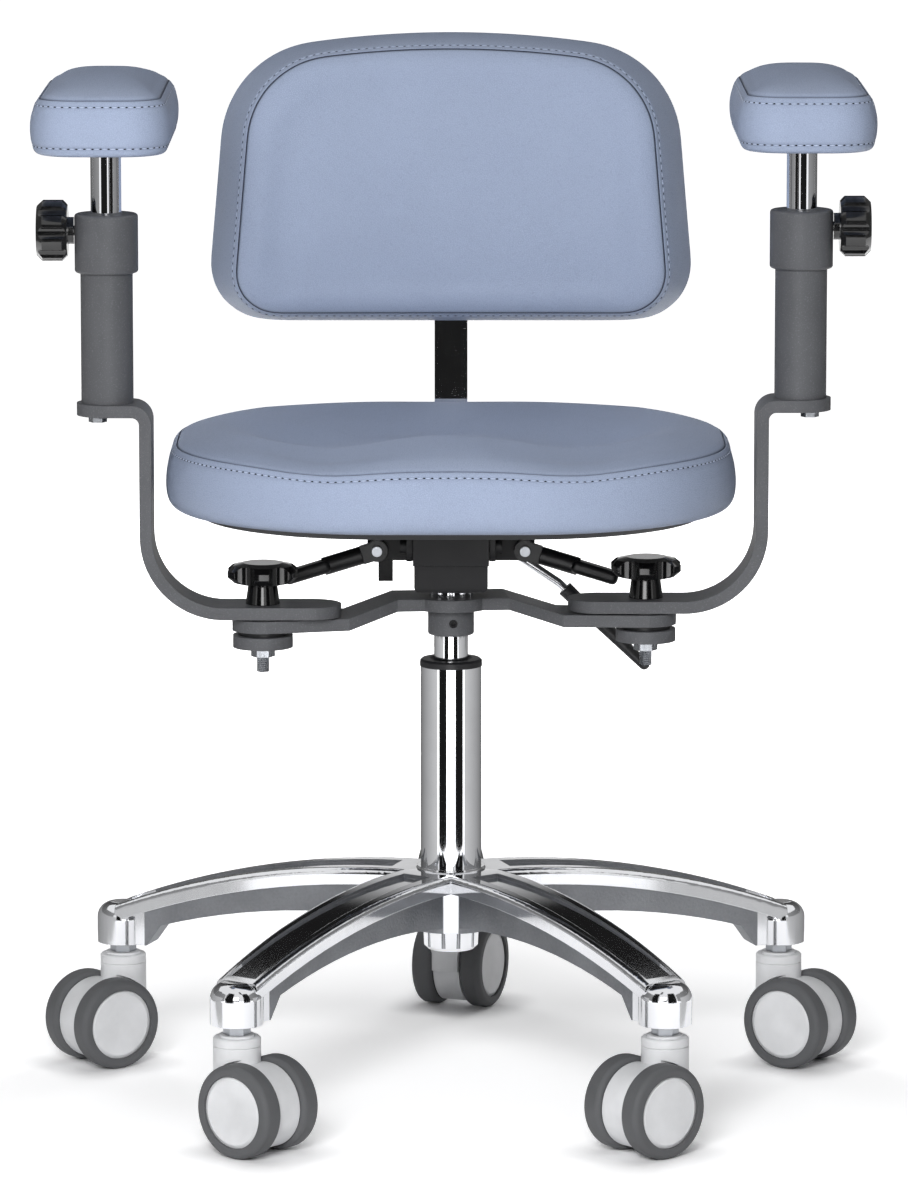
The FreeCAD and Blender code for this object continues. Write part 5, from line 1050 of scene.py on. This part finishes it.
class CHAIR_OT_stage(Operator):
    """Sets up the floor, the lamps, the cards and the camera"""
    bl_idname = "chair.stage"
    bl_label = "Stage"

    def execute(self, context):
        scene, studio = context.scene, context.scene.chair_studio
        scene.view_settings.view_transform = "Standard"
        self.make_world(scene, studio)
        self.make_floor(studio)
        self.make_lamp("key_lamp", (-0.45, -3.1, 1.65), 1.2, studio.key)
        self.make_lamp("left_lamp", (-1.6, 3.0, 0.85), 1.3, studio.side)
        self.make_lamp("right_lamp", (1.6, 3.0, 0.85), 1.3, studio.side)
        self.make_lamp("top_lamp", (0.0, -0.4, 3.0), 1.6, studio.top)
        self.make_cards()
        self.make_camera(scene, studio)
        return {"FINISHED"}

    def make_cards(self):
        """The softbox, and the cards that draw the stripes on the column, the bar and the base."""
        softbox, black = constant_tone(6.0), constant_tone(DARK)
        wall, kerb = tone_by_turn(45, 170, 0.34, 0.05), tone_by_turn(52, 170, 0.66, 0.10)
        self.make_card(-6.2, 3.22, (1.3, 1.3), 0.55, softbox)
        self.make_card(-0.3, 0.6, (0.09, 0.5), 0.58, black)
        for way in (-1, 1):
            self.make_card(way * 31, 1.05, (0.52, 1.2), 0.0, black)
            for turn in (80, 138):
                self.make_card(way * turn, 2.0, (2.2, 1.7), 0.0, wall)
            for turn in (68, 98, 128, 158):
                self.make_card(way * turn, 0.72, (0.40, 0.26), 0.0, kerb)
        self.make_card(0, 3.6, (1.0, 1.2), 0.0, black)
        self.make_card(180, 0.72, (0.36, 0.26), 0.0, constant_tone(0.1))
        self.make_card(180, 2.2, (3.2, 2.4), 0.0, tone_by_height(0.5, 1.2, 0.85, DARK))

    def seen(self, tree):
        """1 on rays that show the background: from the camera, off gloss and through glass."""
        path = add_node(tree, "LightPath").outputs
        direct = math_node(tree, "MAXIMUM", path["Is Camera Ray"], path["Is Glossy Ray"])
        shown = math_node(tree, "MAXIMUM", direct, path["Is Transmission Ray"])
        return math_node(tree, "MULTIPLY", shown, math_node(tree, "LESS_THAN", path["Diffuse Depth"], 0.5))

    def make_world(self, scene, studio):
        world = bpy.data.worlds.new("studio")
        world.use_nodes = True
        scene.world = world
        tree = world.node_tree
        tree.nodes.clear()
        even_light = add_node(tree, "Background", {"Color": (1, 1, 1, 1), "Strength": studio.fill})
        backdrop = add_node(tree, "Background", {"Color": (1, 1, 1, 1), "Strength": 1.0})
        inputs = {0: self.seen(tree), 1: even_light.outputs[0], 2: backdrop.outputs[0]}
        mixed = add_node(tree, "MixShader", inputs)
        result = add_node(tree, "OutputWorld")
        tree.links.new(mixed.outputs[0], result.inputs[0])

    def make_floor(self, studio):
        bpy.ops.object.select_all(action="DESELECT")
        bpy.ops.mesh.primitive_plane_add(size=FLOOR_SIZE)
        floor = bpy.context.object
        floor.name = "floor"
        tree, shader = new_material("floor", Roughness=1.0, Specular_IOR_Level=0.0)
        shader.inputs["Base Color"].default_value = opaque(studio.floor)
        place = add_node(tree, "TexCoord").outputs["Object"]
        away = add_node(tree, "VectorMath", {0: place}, operation="LENGTH").outputs["Value"]
        glow = remap(tree, away, GLOW_NEAR, GLOW_FAR, studio.glow, 1.0)
        # Painted contact shadow: the glow fades where ambient occlusion finds something standing close
        contact_shadow = add_node(tree, "AmbientOcclusion", {"Distance": CONTACT_REACH}, samples=16).outputs["AO"]
        glow = math_node(tree, "MULTIPLY", glow, math_node(tree, "POWER", contact_shadow, CONTACT_POWER))
        white = add_node(tree, "Emission", {"Strength": math_node(tree, "MULTIPLY", glow, self.seen(tree))})
        lit = add_node(tree, "AddShader", {0: shader.outputs[0], 1: white.outputs[0]})
        tree.links.new(lit.outputs[0], tree.nodes["Material Output"].inputs["Surface"])
        floor.data.materials.append(bpy.data.materials["floor"])

    def make_lamp(self, name, place, size, power):
        bpy.ops.object.light_add(type="AREA", location=place)
        lamp = bpy.context.object
        lamp.name = name
        lamp.data.size = size
        lamp.data.energy = power
        aim = LAMP_AIM - Vector(place)
        lamp.rotation_euler = aim.to_track_quat("-Z", "Y").to_euler()
        lamp.visible_camera = False
        lamp.visible_glossy = False

    def make_card(self, turn, away, size, foot, tone):
        """A card that only bright surfaces mirror; turn is measured from the camera's side."""
        bpy.ops.object.select_all(action="DESELECT")
        heading = math.radians(turn - 90)
        place = Vector((math.cos(heading) * away, math.sin(heading) * away, foot + size[1] / 2))
        rotation = (math.pi / 2, 0, heading + math.pi / 2)
        bpy.ops.mesh.primitive_plane_add(size=1, location=place, rotation=rotation)
        card = bpy.context.object
        card.name = "card"
        card.scale = (*size, 1)
        bpy.ops.object.transform_apply(location=True, rotation=True, scale=True)
        material = bpy.data.materials.new("card")
        material.use_nodes = True
        tree = material.node_tree
        tree.nodes.clear()
        spot = add_node(tree, "TexCoord").outputs["Object"]
        strength = math_node(tree, "MULTIPLY", self.seen(tree), tone(tree, spot))
        paper = add_node(tree, "Emission", {"Strength": strength})
        tree.links.new(paper.outputs[0], add_node(tree, "OutputMaterial").inputs["Surface"])
        card.data.materials.append(material)
        card.visible_camera = False
        card.visible_diffuse = False
        card.visible_shadow = False

    def make_camera(self, scene, studio):
        pitch = studio.camera_pitch
        place = Vector((0, -math.cos(pitch), math.sin(pitch))) * studio.camera_distance
        place.z += studio.aim_height
        bpy.ops.object.camera_add(location=place, rotation=(math.pi / 2 - pitch, 0, 0))
        camera = bpy.context.object
        camera.name = "camera"
        camera.data.lens = studio.lens
        camera.data.shift_x = studio.shift
        camera.data.clip_end = CLIP_END
        scene.camera = camera


OPERATORS = (CHAIR_OT_finishes, CHAIR_OT_seat, CHAIR_OT_back, CHAIR_OT_arm_pads, CHAIR_OT_stage)


class CHAIR_PT_panel(Panel):
    """Lists the steps that dress the chair"""
    bl_label = "Laboratory Chair"
    bl_idname = "CHAIR_PT_panel"
    bl_space_type = "VIEW_3D"
    bl_region_type = "UI"
    bl_category = "Chair"

    def draw(self, context):
        for operator in OPERATORS:
            self.layout.operator(operator.bl_idname)
        for name in SETTINGS:
            group = getattr(context.scene, name)
            for prop in group.bl_rna.properties:
                if prop.identifier not in ("rna_type", "name"):
                    self.layout.prop(group, prop.identifier)


SETTINGS = {"chair_upholstery": ChairUpholstery, "chair_finishes": ChairFinishes, "chair_studio": ChairStudio}


def register():
    for cls in (*SETTINGS.values(), *OPERATORS, CHAIR_PT_panel):
        bpy.utils.register_class(cls)
    for name, group in SETTINGS.items():
        setattr(bpy.types.Scene, name, PointerProperty(type=group))


def unregister():
    for name in SETTINGS:
        delattr(bpy.types.Scene, name)
    for cls in (CHAIR_PT_panel, *reversed(OPERATORS), *SETTINGS.values()):
        bpy.utils.unregister_class(cls)


def main():
    register()
    for operator in OPERATORS:
        group, name = operator.bl_idname.split(".")
        getattr(getattr(bpy.ops, group), name)()


if __name__ == "__main__":
    main()
